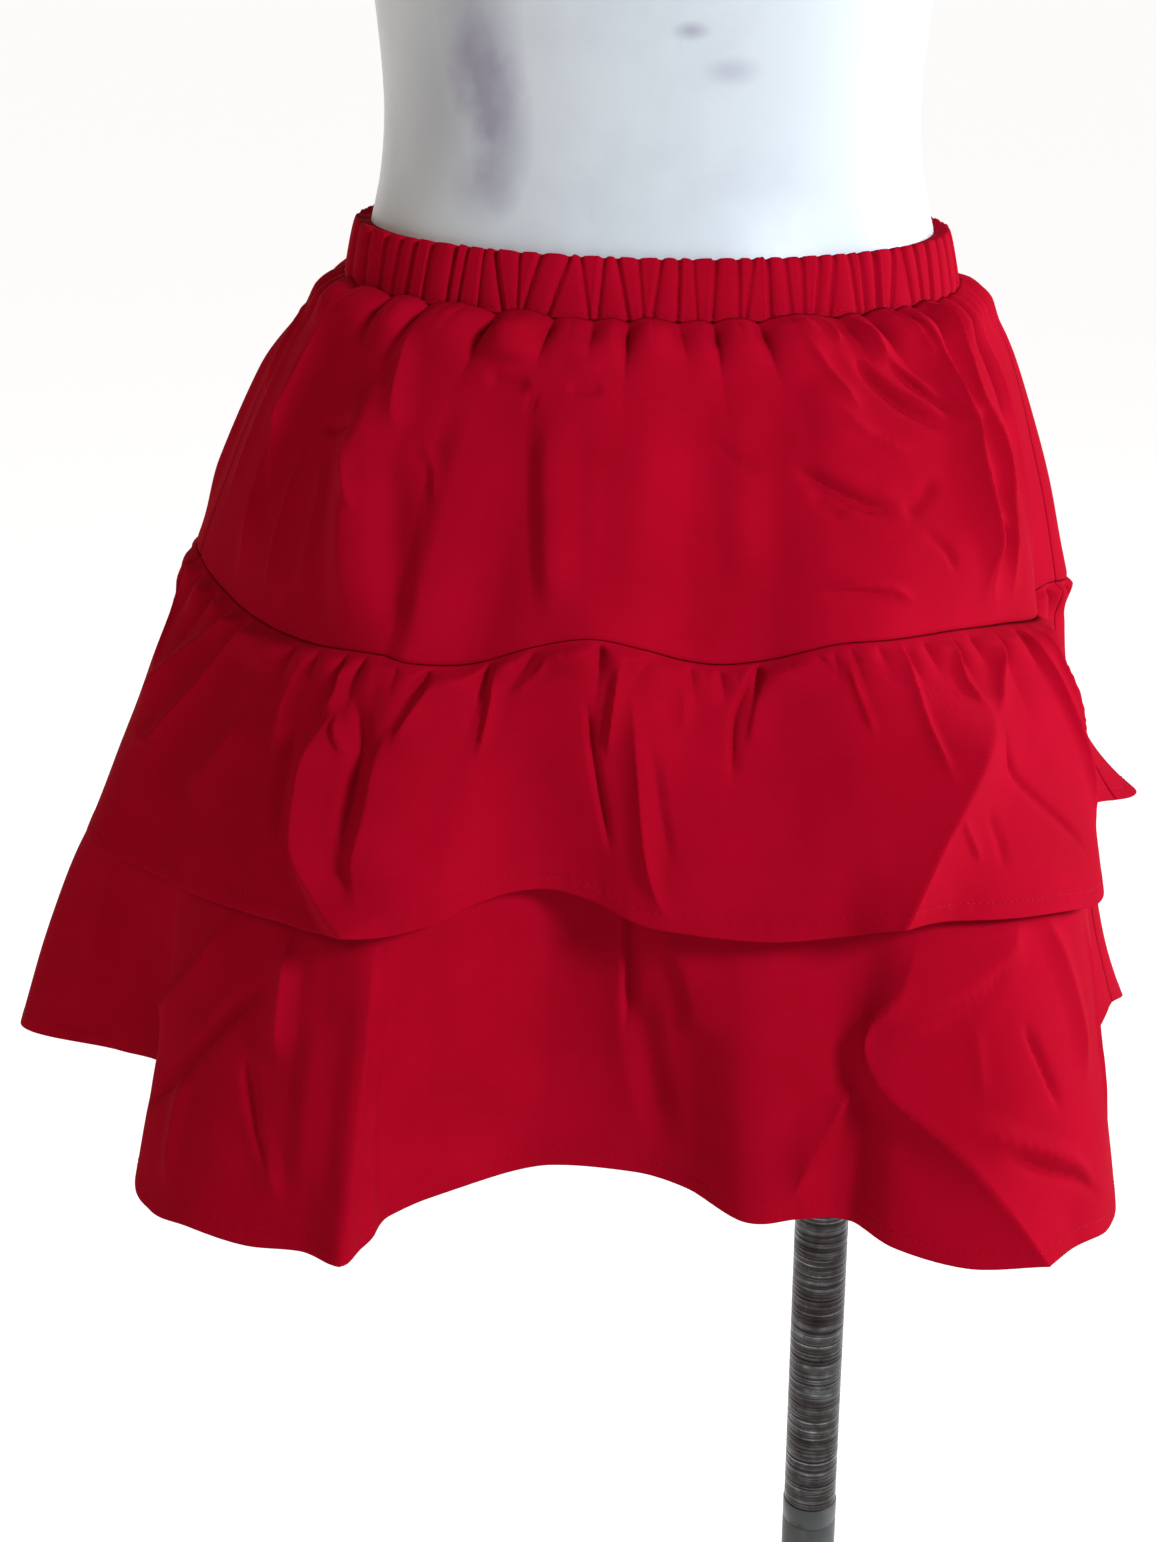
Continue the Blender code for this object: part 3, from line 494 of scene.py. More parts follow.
# ---------------------------------------------------------------- folds on a tier
def smooth_path(points, steps=14):
    """A smooth curve through a fold's points."""
    points = np.array(points, float)
    ends = np.vstack([2 * points[0] - points[1], points, 2 * points[-1] - points[-2]])
    curve = []
    for i in range(len(points) - 1):
        p0, p1, p2, p3 = ends[i:i + 4]
        for u in np.linspace(0, 1, max(3, steps // (len(points) - 1)), endpoint=False):
            curve.append(0.5 * (2 * p1 + (p2 - p0) * u + (2 * p0 - 5 * p1 + 4 * p2 - p3) * u * u
                                + (3 * p1 - p0 - 3 * p2 + p3) * u**3))
    curve.append(points[-1])
    return np.array(curve)


def nearest_on_path(x, y, path_x, path_y):
    """Distance to a path, side of it (right is above 0) and share of its length."""
    best = np.full(x.shape, 9.0)
    side, along = np.zeros(x.shape), np.zeros(x.shape)
    run = np.concatenate([[0], np.cumsum(np.hypot(np.diff(path_x), np.diff(path_y)))])
    for i in range(len(path_x) - 1):
        dx, dy = path_x[i + 1] - path_x[i], path_y[i + 1] - path_y[i]
        size = math.hypot(dx, dy)
        t = np.clip(((x - path_x[i]) * dx + (y - path_y[i]) * dy) / size**2, 0, 1)
        away = np.hypot(x - path_x[i] - t * dx, y - path_y[i] - t * dy)
        closer = away < best
        best = np.where(closer, away, best)
        side = np.where(closer, (x - path_x[i]) * dy - (y - path_y[i]) * dx, side)
        along = np.where(closer, run[i] + t * size, along)
    return best, side, along / run[-1]


def fold_lift(tier, angle, fall, folds):
    """Height in metres that the folds add on a grid of angles and falls.

    A fold fades at an end that doesn't reach the tier's own edge."""
    top, hem, length = tier
    per_degree = math.radians(1) * (top + (hem - top) * fall)
    lift = np.zeros(angle.shape)
    for height, left, right, soft, points in folds:
        path = smooth_path(points)
        middle = path[:, 0].mean()
        reach = np.ptp(path[:, 0]) / 2 + math.degrees(max(left, right) * MM / top) + 1
        near = np.abs(half_turn(angle[0] - middle)) <= reach
        if not near.any():
            continue
        x = half_turn(angle[:, near] - middle) * per_degree[:, near]
        path_x = (path[:, 0] - middle) * math.radians(1) * (top + (hem - top) * path[:, 1])
        away, side, share = nearest_on_path(x, fall[:, near] * length, path_x, path[:, 1] * length)
        close = np.clip(1 - away / (np.where(side > 0, right, left) * MM), 0, 1)
        shape = close**2 * (1 + 2 * soft * (1 - close))
        fade_in = 1.0 if points[0][1] <= 0.012 else smooth(share, 0.0, 0.3)
        fade_out = 1.0 if points[-1][1] >= 0.99 else 1 - smooth(share, 0.7, 1.0)
        if soft <= SHARP:
            shape = shape + CREST / abs(height) * np.exp(-away / (CREST_WIDTH * MM))
        lift[:, near] += height * MM * shape * fade_in * fade_out
    return lift


def arches(angle, lines, depths, flat=2.0):
    """Cloth puffed out between neighbouring gathers: height shares and widths in degrees.

    Angle and lines are one row: where the cloth is, and where its gathers are.  Deep
    gathers have high puffs beside them."""
    order = np.argsort(np.mod(lines, 360))
    lines, depths = np.mod(lines, 360)[order], depths[order]
    depths = np.concatenate([[depths[-1]], depths, [depths[0]]])
    lines = np.concatenate([[lines[-1] - 360], lines, [lines[0] + 360]])
    at = np.mod(angle, 360)
    k = np.clip(np.searchsorted(lines, at, "right") - 1, 0, len(lines) - 2)
    wide = lines[k + 1] - lines[k]
    u = (at - lines[k]) / wide
    deep = depths[k] + (depths[k + 1] - depths[k]) * u
    return (1 - np.abs(2 * u - 1) ** flat) * np.minimum((deep / 2.2) ** 1.4, 1.3), wide


def gather_lift(tier, angle, fall, gathers, width=2.0, spread=24.0, puff=0.2, short=0.15):
    """Cloth that puffs out between its gathers at the seam, and valleys that run on down.

    A valley is width mm wide at the seam and spread mm wider at the hem.  A puff's height
    is a share of its width, and the puffs end at the fall that short gives."""
    top, hem, length = tier
    per_degree = math.radians(1) * (top + (hem - top) * fall)
    lift = np.zeros(angle.shape)
    at, depth, reach, drift = (np.array(column, float) for column in zip(*gathers))
    main = depth > MAIN_GATHER
    for i, share in enumerate(fall[:, 0]):
        if share < short:
            lines = at + drift * np.minimum(share / reach, 1.4)
            up, wide = arches(angle[i], lines[main], depth[main])
            size = np.minimum(puff * wide * per_degree[i], HIGHEST_PUFF * MM)
            begun = float(0.5 + 0.5 * smooth(share, 0.0, 0.03))
            lift[i] = size * up * begun * float(1 - smooth(share, 0.03, short))
    for start, deep, low, lean in gathers:
        centre = start + lean * np.minimum(fall / low, 1.4)
        away = np.abs(half_turn(angle - centre)) * per_degree
        fading = np.clip(1 - fall / (low * 1.3), 0, 1) ** 1.2
        fading = fading * (0.15 + 0.85 * smooth(fall, 0.0, 0.03))
        narrow = FINE_GATHER if deep < MAIN_GATHER else 1.0
        reached = (narrow * width + spread * fall) * MM
        lift = lift - 1.1 * deep * MM * fading * np.exp(-away / reached)
    return lift


def hidden_gathers(start, end, count, depth, reach):
    """Gathers of uneven depth and length for the sides that face away."""
    rows = []
    for k in range(count):
        at = start + (end - start) * (k + 0.5 + 0.3 * math.sin(5.3 * k + 0.4)) / count
        rows.append((at, depth * (0.75 + 0.35 * math.sin(2.7 * k + 1.0)),
                     reach * (0.7 + 0.55 * math.sin(3.9 * k) ** 2), 2.5 * math.sin(1.9 * k + 2.0)))
    return tuple(rows)


def hidden_folds(start, end, count, height, phase):
    """Long soft folds with a few slanting creases for the sides that face away."""
    rows = []
    for k in range(count):
        at = start + (end - start) * (k + 0.5 + 0.25 * math.sin(4.1 * k + phase)) / count
        lean = 4 * math.sin(2.3 * k + phase)
        top = 0.12 + 0.12 * math.sin(3.1 * k + phase) ** 2
        size = height * (0.7 + 0.4 * math.sin(1.7 * k + phase))
        wider = math.sin(k + phase)
        rows.append((size, 9 + 4 * wider, 15 - 5 * wider, 0.6,
                     ((at, top), (at + lean, 0.55), (at + 1.6 * lean, 0.97))))
        if k % 2:
            low = 0.2 * math.sin(k)
            rows.append((-1.5, 4, 6, 0.2,
                         ((at - 7, 0.3 + low), (at, 0.42 + low), (at + 6, 0.46 + low))))
        else:
            rows.append((1.6, 5, 8, 0.0,
                         ((at + 8, 0.02), (at + 9 + lean, 0.2), (at + 8 + 2 * lean, 0.42))))
    return tuple(rows)


def crumple(angle, fall, length, size, seed):
    """Slight unevenness of worn cloth: crossing waves, size in mm."""
    waves = 14
    draw = np.random.default_rng(seed)
    lift = np.zeros(angle.shape)
    for _ in range(waves):
        across, down = draw.integers(5, 34), draw.uniform(8, 70)
        start = draw.uniform(0, 2 * math.pi)
        lift += np.sin(np.radians(angle) * across + down * fall * length * 2.0 + start) / waves ** 0.5
    return lift * size * MM


# ---------------------------------------------------------------- cloth shells
def grid_normals(points, closed):
    """Unit normals of a grid of points whose rows run down the cloth."""
    if closed:
        across = np.roll(points, -1, axis=1) - np.roll(points, 1, axis=1)
    else:
        across = np.gradient(points, axis=1)
    down = np.gradient(points, axis=0)
    normal = np.cross(down, across)
    return normal / np.linalg.norm(normal, axis=2, keepdims=True)


def blurred(grid, times=3):
    """A softer copy of a grid, for the cloth's inner side."""
    for _ in range(times):
        for axis in (0, 1):
            place = np.arange(grid.shape[axis])
            before, after = np.maximum(place - 1, 0), np.minimum(place + 1, len(place) - 1)
            grid = (np.take(grid, before, axis) + 2 * grid + np.take(grid, after, axis)) / 4
    return grid


def placed(name, mesh, finish):
    """Shades a mesh smooth, gives it its finish and stands it at the origin."""
    mesh.shade_smooth()
    mesh.materials.append(finish)
    piece = bpy.data.objects.new(name, mesh)
    bpy.context.scene.collection.objects.link(piece)
    return piece


def strips(rows, columns, start, closed, flip):
    """Quads between neighbouring rows of a grid of points, as an array of corner numbers."""
    row, column = np.meshgrid(np.arange(rows - 1),
                              np.arange(columns if closed else columns - 1), indexing="ij")
    after = (column + 1) % columns
    a, b = row * columns + column, row * columns + after
    quads = np.stack([a, a + columns, b + columns, b], axis=-1).reshape(-1, 4) + start
    return quads[:, ::-1] if flip else quads


def shell(name, outer, inner, uv, closed, finish):
    """A closed shell of cloth between two grids of points, rows from the top down.

    The inner side keeps every second row and column of its grid."""
    rows, columns = outer.shape[:2]
    inner, inner_uv = inner[::2, ::2], uv[::2, ::2]
    low_rows, low_columns = inner.shape[:2]
    count = rows * columns
    points = np.concatenate([outer.reshape(-1, 3), inner.reshape(-1, 3)])
    faces = [strips(rows, columns, 0, closed, False),
             strips(low_rows, low_columns, count, closed, True)]
    step = np.arange(low_columns if closed else low_columns - 1)
    left, middle, right = 2 * step, 2 * step + 1, (2 * step + 2) % columns
    low_left, low_right = count + step, count + (step + 1) % low_columns
    last, low_last = (rows - 1) * columns, (low_rows - 1) * low_columns
    faces.append(np.stack([left, middle, right, low_right, low_left], axis=-1))
    faces.append(np.stack([last + right, last + middle, last + left,
                           low_last + low_left, low_last + low_right], axis=-1))
    if not closed:
        step = np.arange(low_rows - 1)
        top = 2 * step * columns
        middle, foot = top + columns, top + 2 * columns
        low_top, low_foot = count + step * low_columns, count + (step + 1) * low_columns
        side, low_side = columns - 1, low_columns - 1
        faces.append(np.stack([top, low_top, low_foot, foot, middle], axis=-1))
        faces.append(np.stack([top + side, middle + side, foot + side,
                               low_foot + low_side, low_top + low_side], axis=-1))
    corners = np.concatenate([part.ravel() for part in faces])
    sizes = np.concatenate([np.full(len(part), part.shape[1]) for part in faces])
    mesh = bpy.data.meshes.new(name)
    mesh.vertices.add(len(points))
    mesh.vertices.foreach_set("co", points.astype(np.float32).ravel())
    mesh.loops.add(len(corners))
    mesh.loops.foreach_set("vertex_index", corners.astype(np.int32))
    mesh.polygons.add(len(sizes))
    mesh.polygons.foreach_set("loop_start", (np.cumsum(sizes) - sizes).astype(np.int32))
    layer = mesh.uv_layers.new(name="cloth")
    flat = np.concatenate([uv.reshape(-1, 2), inner_uv.reshape(-1, 2)])[corners]
    layer.data.foreach_set("uv", flat.astype(np.float32).ravel())
    mesh.update(calc_edges=True)
    mesh.validate()
    return placed(name, mesh, finish)


def capped_tube(name, rings, sharp, finish):
    """A closed tube through rings of points from the top down, sharp past some degrees."""
    rows, columns = rings.shape[:2]
    faces = [tuple(int(n) for n in quad) for quad in strips(rows, columns, 0, True, False)]
    faces.append(tuple(range(columns)))
    faces.append(tuple(rows * columns - 1 - j for j in range(columns)))
    mesh = bpy.data.meshes.new(name)
    mesh.from_pydata([tuple(point) for point in rings.reshape(-1, 3)], [], faces)
    piece = placed(name, mesh, finish)
    mesh.set_sharp_from_angle(angle=math.radians(sharp))
    return piece


def cloth_lengths(grid):
    """How far each point is across and down the cloth, in metres."""
    across = np.linalg.norm(np.diff(grid[-1], axis=0), axis=1)
    across = np.concatenate([[0], np.cumsum(across)])
    down = np.linalg.norm(np.diff(grid, axis=0), axis=2)
    down = np.concatenate([np.zeros((1, grid.shape[1])), np.cumsum(down, axis=0)])
    return np.broadcast_to(across, grid.shape[:2]), down


def ring_uv(across, length, rows):
    """Cloth coordinates of a tube: metres round it and metres down it."""
    down = -np.linspace(0, length, rows)
    return np.stack(np.broadcast_arrays(across[None, :], down[:, None]), axis=-1)


def crowded(count, share=0.085):
    """Falls from 0 to 1 that lie closer together near both ends."""
    t = np.linspace(0, 1, count)
    return t - share * np.sin(2 * math.pi * t)


def base_grid(ring, angle, falls):
    """Points of a tier before its folds."""
    rows = []
    for fall in falls:
        plan, drop = ring(angle, np.full(angle.shape, fall))
        rows.append(np.hstack([plan, (BAND_BOTTOM - drop)[:, None]]))
    return np.array(rows)


def turned_hem(points, normal):
    """The double hem: a slightly raised edge with a puckered line of stitching."""
    across, down = cloth_lengths(points)
    from_edge = down[-1] - down
    raised = HEM_RAISE * (1 - smooth(from_edge, HEM_TURN - 0.0004, HEM_TURN + 0.0006))
    groove = -HEM_GROOVE * np.exp(-((from_edge - HEM_TURN + HEM_STITCH_IN) / 0.0009) ** 2)
    turns = across * 2 * math.pi
    swell = 0.5 + 0.5 * np.sin(turns / 0.083)
    ripple = np.sin(turns / 0.0093 + 3 * swell) + 0.6 * np.sin(turns / 0.0057 + 1)
    beside = np.exp(-((from_edge - HEM_TURN + 0.001) / 0.005) ** 2)
    pucker = HEM_PUCKER * swell * ripple * beside
    return points + normal * (raised + groove + pucker)[..., None]


def stitches_along(name, points, normal, from_edge, finish):
    """Separate thread stitches along a hem, as one joined piece."""
    down = cloth_lengths(points)[1]
    target = down[-1] - from_edge
    line, up = [], []
    for j in range(points.shape[1]):
        i = int(np.clip(np.searchsorted(down[:, j], target[j]) - 1, 0, len(down) - 2))
        u = (target[j] - down[i, j]) / (down[i + 1, j] - down[i, j])
        line.append(points[i, j] * (1 - u) + points[i + 1, j] * u)
        up.append(normal[i, j])
    return stitch_row(name, np.array(line), np.array(up), False, finish)


def stitch_row(name, line, up, closed, finish):
    """Stitches along a line of points, each a small rounded bar whose ends sink in."""
    if closed:
        line, up = np.vstack([line, line[:1]]), np.vstack([up, up[:1]])
    run = np.concatenate([[0], np.cumsum(np.linalg.norm(np.diff(line, axis=0), axis=1))])
    vertices, faces = [], []
    sides = 5
    profile = (  # share of the stitch's length, thickness, height
        (0.0, 0.35, -0.8), (0.22, 0.95, 0.3), (0.5, 1.0, 0.7), (0.78, 0.95, 0.3), (1.0, 0.35, -0.8))

    def along(values, at):
        return np.array([np.interp(at, run, values[:, axis]) for axis in range(3)])

    for k in range(int((run[-1] - STITCH_LENGTH) / STITCH_PITCH)):
        begin = (k + 0.4) * STITCH_PITCH
        first = len(vertices)
        for share, size, rise in profile:
            at = begin + share * STITCH_LENGTH
            centre = along(line, at)
            ahead = along(line, at + 0.0005) - centre
            lift = along(up, at)
            ahead /= np.linalg.norm(ahead)
            lift /= np.linalg.norm(lift)
            beside = np.cross(ahead, lift)
            for s in range(sides):
                turn = 2 * math.pi * s / sides
                vertices.append(centre + lift * THREAD * rise + THREAD * size
                                * (beside * math.cos(turn) * 1.25 + lift * math.sin(turn)))
        for ring in range(len(profile) - 1):
            for s in range(sides):
                a = first + ring * sides + s
                b = first + ring * sides + (s + 1) % sides
                faces.append((a, b, b + sides, a + sides))
        faces.append(tuple(first + s for s in reversed(range(sides))))
        faces.append(tuple(first + (len(profile) - 1) * sides + s for s in range(sides)))
    mesh = bpy.data.meshes.new(name)
    mesh.from_pydata([tuple(v) for v in vertices], [], faces)
    edit = bmesh.new()
    edit.from_mesh(mesh)
    bmesh.ops.recalc_face_normals(edit, faces=edit.faces)
    edit.to_mesh(mesh)
    edit.free()
    return placed(name, mesh, finish)


# ---------------------------------------------------------------- material words
class Socket:
    """A shader output that adds Math nodes when it is used in sums."""

    def __init__(self, finish, output):
        self.finish = finish
        self.output = output

    def maths(self, operation, first, second):
        return self.finish.node("ShaderNodeMath", {"operation": operation}, {0: first, 1: second})

    def __add__(self, other):
        return self.maths("ADD", self, other)

    def __sub__(self, other):
        return self.maths("SUBTRACT", self, other)

    def __mul__(self, other):
        return self.maths("MULTIPLY", self, other)

    def __truediv__(self, other):
        return self.maths("DIVIDE", self, other)

    def __pow__(self, other):
        return self.maths("POWER", self, other)

    def __rsub__(self, other):
        return self.maths("SUBTRACT", other, self)

    __radd__ = __add__
    __rmul__ = __mul__


class Finish:
    """A material that is written as Python expressions."""

    def __init__(self, name, colour, roughness, **fixed):
        self.material = bpy.data.materials.new(name)
        self.material.use_nodes = True
        self.tree = self.material.node_tree
        self.shader = self.tree.nodes["Principled BSDF"]
        self.shader.inputs["Base Color"].default_value = (*colour, 1)
        self.shader.inputs["Roughness"].default_value = roughness
        for socket, value in fixed.items():
            self.shader.inputs[socket.replace("_", " ")].default_value = value

    def node(self, kind, settings=None, values=None, output=0):
        made = self.tree.nodes.new(kind)
        for key, value in (settings or {}).items():
            if key == "stops":
                ramp = made.color_ramp
                while len(ramp.elements) < len(value):
                    ramp.elements.new(1.0)
                for element, (place, colour) in zip(ramp.elements, value):
                    element.position = place
                    element.color = (*colour, 1)
            else:
                setattr(made, key, value)
        for key, value in (values or {}).items():
            if isinstance(value, Socket):
                self.tree.links.new(value.output, made.inputs[key])
            else:
                made.inputs[key].default_value = value
        return Socket(self, made.outputs[output])

    def place(self, kind="Object"):
        return self.node("ShaderNodeTexCoord", output=kind)

    def stretched(self, place, scale, turn=(0, 0, 0)):
        return self.node("ShaderNodeMapping", {}, {
            "Vector": place, "Scale": scale, "Rotation": turn})

    def noise(self, place, scale, detail=2.0, rough=0.5):
        return self.node("ShaderNodeTexNoise", {}, {
            "Vector": place, "Scale": scale, "Detail": detail, "Roughness": rough})

    def between(self, value, low, high, out_low=0.0, out_high=1.0):
        return self.node("ShaderNodeMapRange", {"clamp": True}, {
            "Value": value, "From Min": low, "From Max": high, "To Min": out_low, "To Max": out_high})

    def mixed(self, share, first, second):
        made = self.tree.nodes.new("ShaderNodeMix")
        made.data_type = "RGBA"
        for key, value in (("Factor", share), ("A", first), ("B", second)):
            socket = next(s for s in made.inputs
                          if s.name == key and s.type == ("VALUE" if key == "Factor" else "RGBA"))
            if isinstance(value, Socket):
                self.tree.links.new(value.output, socket)
            else:
                socket.default_value = value if key == "Factor" else (*value, 1)
        return Socket(self, next(s for s in made.outputs if s.type == "RGBA"))

    def bump(self, height, distance, strength=1.0, under=None):
        values = {"Height": height, "Distance": distance, "Strength": strength}
        if under is not None:
            values["Normal"] = under
        return self.node("ShaderNodeBump", {}, values)

    def feed(self, socket, value):
        self.tree.links.new(value.output, self.shader.inputs[socket])


def red_cloth():
    """Smooth, tightly woven synthetic cloth in crimson."""
    finish = Finish("red_cloth_finish", (0.28, 0.0012, 0.0105), 0.6, Specular_IOR_Level=0.01)
    cloth = finish.node("ShaderNodeUVMap", {"uv_map": "cloth"})
    body = finish.place()
    warp = finish.noise(finish.stretched(cloth, (2600, 260, 1)), 1.0, 2.0)
    weft = finish.noise(finish.stretched(cloth, (240, 2400, 1)), 1.0, 2.0)
    weave = warp * 0.5 + weft * 0.5
    rubbed = finish.noise(body, 22.0, 3.0, 0.55)
    slubs = finish.noise(finish.stretched(cloth, (30, 900, 1)), 1.0, 2.0)
    tone = finish.between(rubbed * 0.6 + weave * 0.25 + slubs * 0.15, 0.32, 0.68)
    finish.feed("Base Color", finish.mixed(tone, (0.255, 0.0009, 0.0085), (0.31, 0.0014, 0.0125)))
    finish.feed("Roughness", finish.between(weave * 0.5 + rubbed * 0.5, 0.3, 0.7, 0.8, 0.94))
    creased = finish.bump(finish.noise(body, 90.0, 3.0, 0.5), 0.0012, 0.2)
    finish.feed("Normal", finish.bump(weave, 0.00003, 0.5, creased))
    return finish.material


def red_thread():
    """Twisted sewing thread in the cloth's own colour."""
    finish = Finish("red_thread_finish", (0.29, 0.0016, 0.012), 0.5, Specular_IOR_Level=0.04)
    twist = finish.noise(finish.stretched(finish.place(), (3000, 3000, 5200)), 1.0, 1.0)
    finish.feed("Base Color", finish.mixed(twist, (0.25, 0.0012, 0.0095), (0.34, 0.0022, 0.014)))
    finish.feed("Normal", finish.bump(twist, 0.0001, 0.5))
    return finish.material


def form_shell():
    """White moulded plastic with grey handling marks."""
    finish = Finish("form_shell_finish", (0.45, 0.475, 0.495), 0.42, Specular_IOR_Level=0.4)
    body = finish.place()
    cloudy = finish.noise(body, 9.0, 5.0, 0.6)
    fine = finish.noise(body, 60.0, 4.0, 0.55)
    grime = finish.between(cloudy * 0.7 + fine * 0.3, 0.44, 0.72)
    shell_tone = finish.mixed(grime * 0.5, (0.465, 0.49, 0.51), (0.335, 0.345, 0.385))
    x, y, z = (finish.node("ShaderNodeSeparateXYZ", {}, {0: body}, output=axis) for axis in "XYZ")
    ragged = (fine - 0.5) * 0.55 + (cloudy - 0.5) * 0.9
    marks = 0.0
    for at_x, at_y, at_z, wide, deep, high, strength in FORM_MARKS:
        far = (((x - at_x) / wide) ** 2 + ((z - at_z) / high) ** 2
               + ((y - at_y) / deep) ** 2) ** 0.5
        marks = marks + finish.between(far + ragged, 0.25, 1.15, strength, 0.0)
    toned = finish.mixed(finish.between(marks, 0.0, 1.0), shell_tone, (0.24, 0.23, 0.285))
    hairline = finish.noise(finish.stretched(body, (260, 260, 34), (0.5, 0.3, 0.6)), 1.0, 2.0)
    scratched = finish.between(hairline, 0.705, 0.73) * finish.between(cloudy, 0.5, 0.62)
    finish.feed("Base Color", finish.mixed(scratched * 0.55, toned, (0.36, 0.35, 0.38)))
    finish.feed("Roughness", finish.between(cloudy * 0.5 + fine * 0.5, 0.3, 0.7, 0.34, 0.5))
    finish.feed("Normal", finish.bump(fine * 0.5 + cloudy * 0.5 - scratched * 0.3, 0.0006, 0.22))
    return finish.material


def ringed_steel_painted_dark_reflection():
    """Steel tube with drawn rings, dulled between them; its near-black colour, lighter in uneven
    bands, is a painted dark reflection.
    """
    finish = Finish("ringed_steel_finish", (0.5, 0.5, 0.5), 0.3, Metallic=1.0)
    body = finish.place()
    rings = finish.noise(finish.stretched(body, (9, 9, 900), (0.04, 0.03, 0)), 1.0, 3.0, 0.6)
    broad = finish.noise(finish.stretched(body, (14, 14, 60), (0.06, 0.04, 0)), 1.0, 2.0)
    stain = finish.noise(body, 120.0, 4.0, 0.6)
    tone = finish.between(rings * 0.62 + broad * 0.12 + stain * 0.26, 0.36, 0.66)
    # The near-black stops are a painted dark reflection: polished steel that mirrors dark
    # surroundings.
    finish.feed("Base Color", finish.node("ShaderNodeValToRGB", {"stops": (
        (0.0, (0.012, 0.009, 0.008)), (0.5, (0.04, 0.034, 0.032)), (0.8, (0.10, 0.103, 0.108)),
        (1.0, (0.32, 0.34, 0.36)))}, {"Fac": tone}))
    finish.feed("Roughness", finish.between(tone, 0.0, 1.0, 0.38, 0.2))
    finish.feed("Normal", finish.bump(rings, 0.0006, 0.5))
    return finish.material


def brushed_steel():
    """Satin steel with fine turned lines round its centre."""
    finish = Finish("brushed_steel_finish", (0.55, 0.55, 0.56), 0.32, Metallic=1.0)
    body = finish.place()
    far = finish.node("ShaderNodeVectorMath", {"operation": "LENGTH"},
                      {0: finish.stretched(body, (1, 1, 0))}, output="Value")
    lines = finish.noise(finish.node("ShaderNodeCombineXYZ", {}, {"X": far * 900}), 1.0, 2.0)
    cloud = finish.noise(body, 14.0, 4.0)
    shade = finish.between(cloud, 0.35, 0.7)
    finish.feed("Base Color", finish.mixed(shade, (0.5, 0.5, 0.51), (0.62, 0.62, 0.63)))
    finish.feed("Roughness", finish.between(lines * 0.6 + cloud * 0.4, 0.3, 0.7, 0.22, 0.42))
    finish.feed("Normal", finish.bump(lines, 0.0001, 0.5))
    return finish.material


def black_plastic_and_painted_reflection():
    """Glossy black moulding with a little dust. On the pole's lower tube this black is a painted dark
    reflection of chrome.
    """
    finish = Finish("black_plastic_finish", (0.02, 0.022, 0.023), 0.28, Specular_IOR_Level=0.55)
    body = finish.place()
    dust = finish.noise(body, 55.0, 5.0, 0.6)
    settled = finish.between(dust, 0.5, 0.8)
    # On the lower pole tube this black base colour is a painted dark reflection, not the tube's own
    # colour.
    finish.feed("Base Color", finish.mixed(settled, (0.016, 0.018, 0.018), (0.05, 0.052, 0.052)))
    finish.feed("Roughness", finish.between(dust, 0.3, 0.75, 0.2, 0.45))
    finish.feed("Normal", finish.bump(finish.noise(body, 400.0, 2.0), 0.0002, 0.3))
    return finish.material


# ---------------------------------------------------------------- the tiers
# columns: radius at the top, radius at the hem, length
UPPER_TIER = (0.125, 0.185, 0.150)
MIDDLE_TIER = (0.180, 0.222, 0.122)
BOTTOM_TIER = (0.215, 0.250, 0.155)


def upper_lift(angle, fall):
    """How far the hip panel's gathers, folds and crumples push its cloth out."""
    gathers = WAIST_GATHERS + hidden_gathers(90, 270, 33, 2.3, 0.2)
    folds = UPPER_FOLDS + hidden_folds(94, 268, BACK_FOLDS, 3.4, 0.5)
    lift = gather_lift(UPPER_TIER, angle, fall, gathers)
    own = fold_lift(UPPER_TIER, angle, fall, folds) + crumple(angle, fall, 0.15, 0.16, 3)
    return lift + own * (0.1 + 0.9 * smooth(fall, 0.0, 0.06))


def seam_lift(angle):
    """How far the hip panel's folds push the hip seam out."""
    grid = np.broadcast_to(angle, (2, len(angle)))
    return upper_lift(grid, np.ones(grid.shape))[0]


def middle_lift(angle, fall):
    """The same for the middle ruffle, which also follows the hip seam above it."""
    gathers = MIDDLE_GATHERS + hidden_gathers(90, 270, 40, 2.4, 0.22)
    folds = MIDDLE_FOLDS + hidden_folds(94, 268, BACK_FOLDS, 3.2, 1.7)
    lift = gather_lift(MIDDLE_TIER, angle, fall, gathers, 1.8, 20.0, 0.19, 0.17)
    carried = seam_lift(angle[0])[None, :] * (1 - smooth(fall, 0.0, 0.5))
    own = lift + fold_lift(MIDDLE_TIER, angle, fall, folds) + crumple(angle, fall, 0.12, 0.18, 5)
    return carried + own * smooth(fall, 0.0, 0.04)


def bottom_lift(angle, fall):
    """The same for the bottom ruffle below the middle one's hem."""
    folds = BOTTOM_FOLDS + hidden_folds(94, 268, BACK_FOLDS, 3.6, 2.9)
    lift = fold_lift(BOTTOM_TIER, angle, fall, folds)
    return (lift + crumple(angle, fall, 0.15, 0.2, 9)) * smooth(fall, 0.0, 0.12)


def panels(front, back):
    """Side, angles and falls of the front and the back of a tier, and both as a grid.

    Front and back say how many columns and rows each has.  There is one spare column
    beyond each side seam."""
    half_gap = math.degrees(SIDE_SEAM_GAP / 2 / SIDE_SEAM_RADIUS)
    for side, start, end, (columns, rows) in (("front", -90, 90, front), ("back", 90, 270, back)):
        angle = np.linspace(start + half_gap, end - half_gap, columns)
        angle = np.concatenate([[start - half_gap], angle, [end + half_gap]])
        falls = crowded(rows)
        yield side, angle, falls, *np.meshgrid(angle, falls)


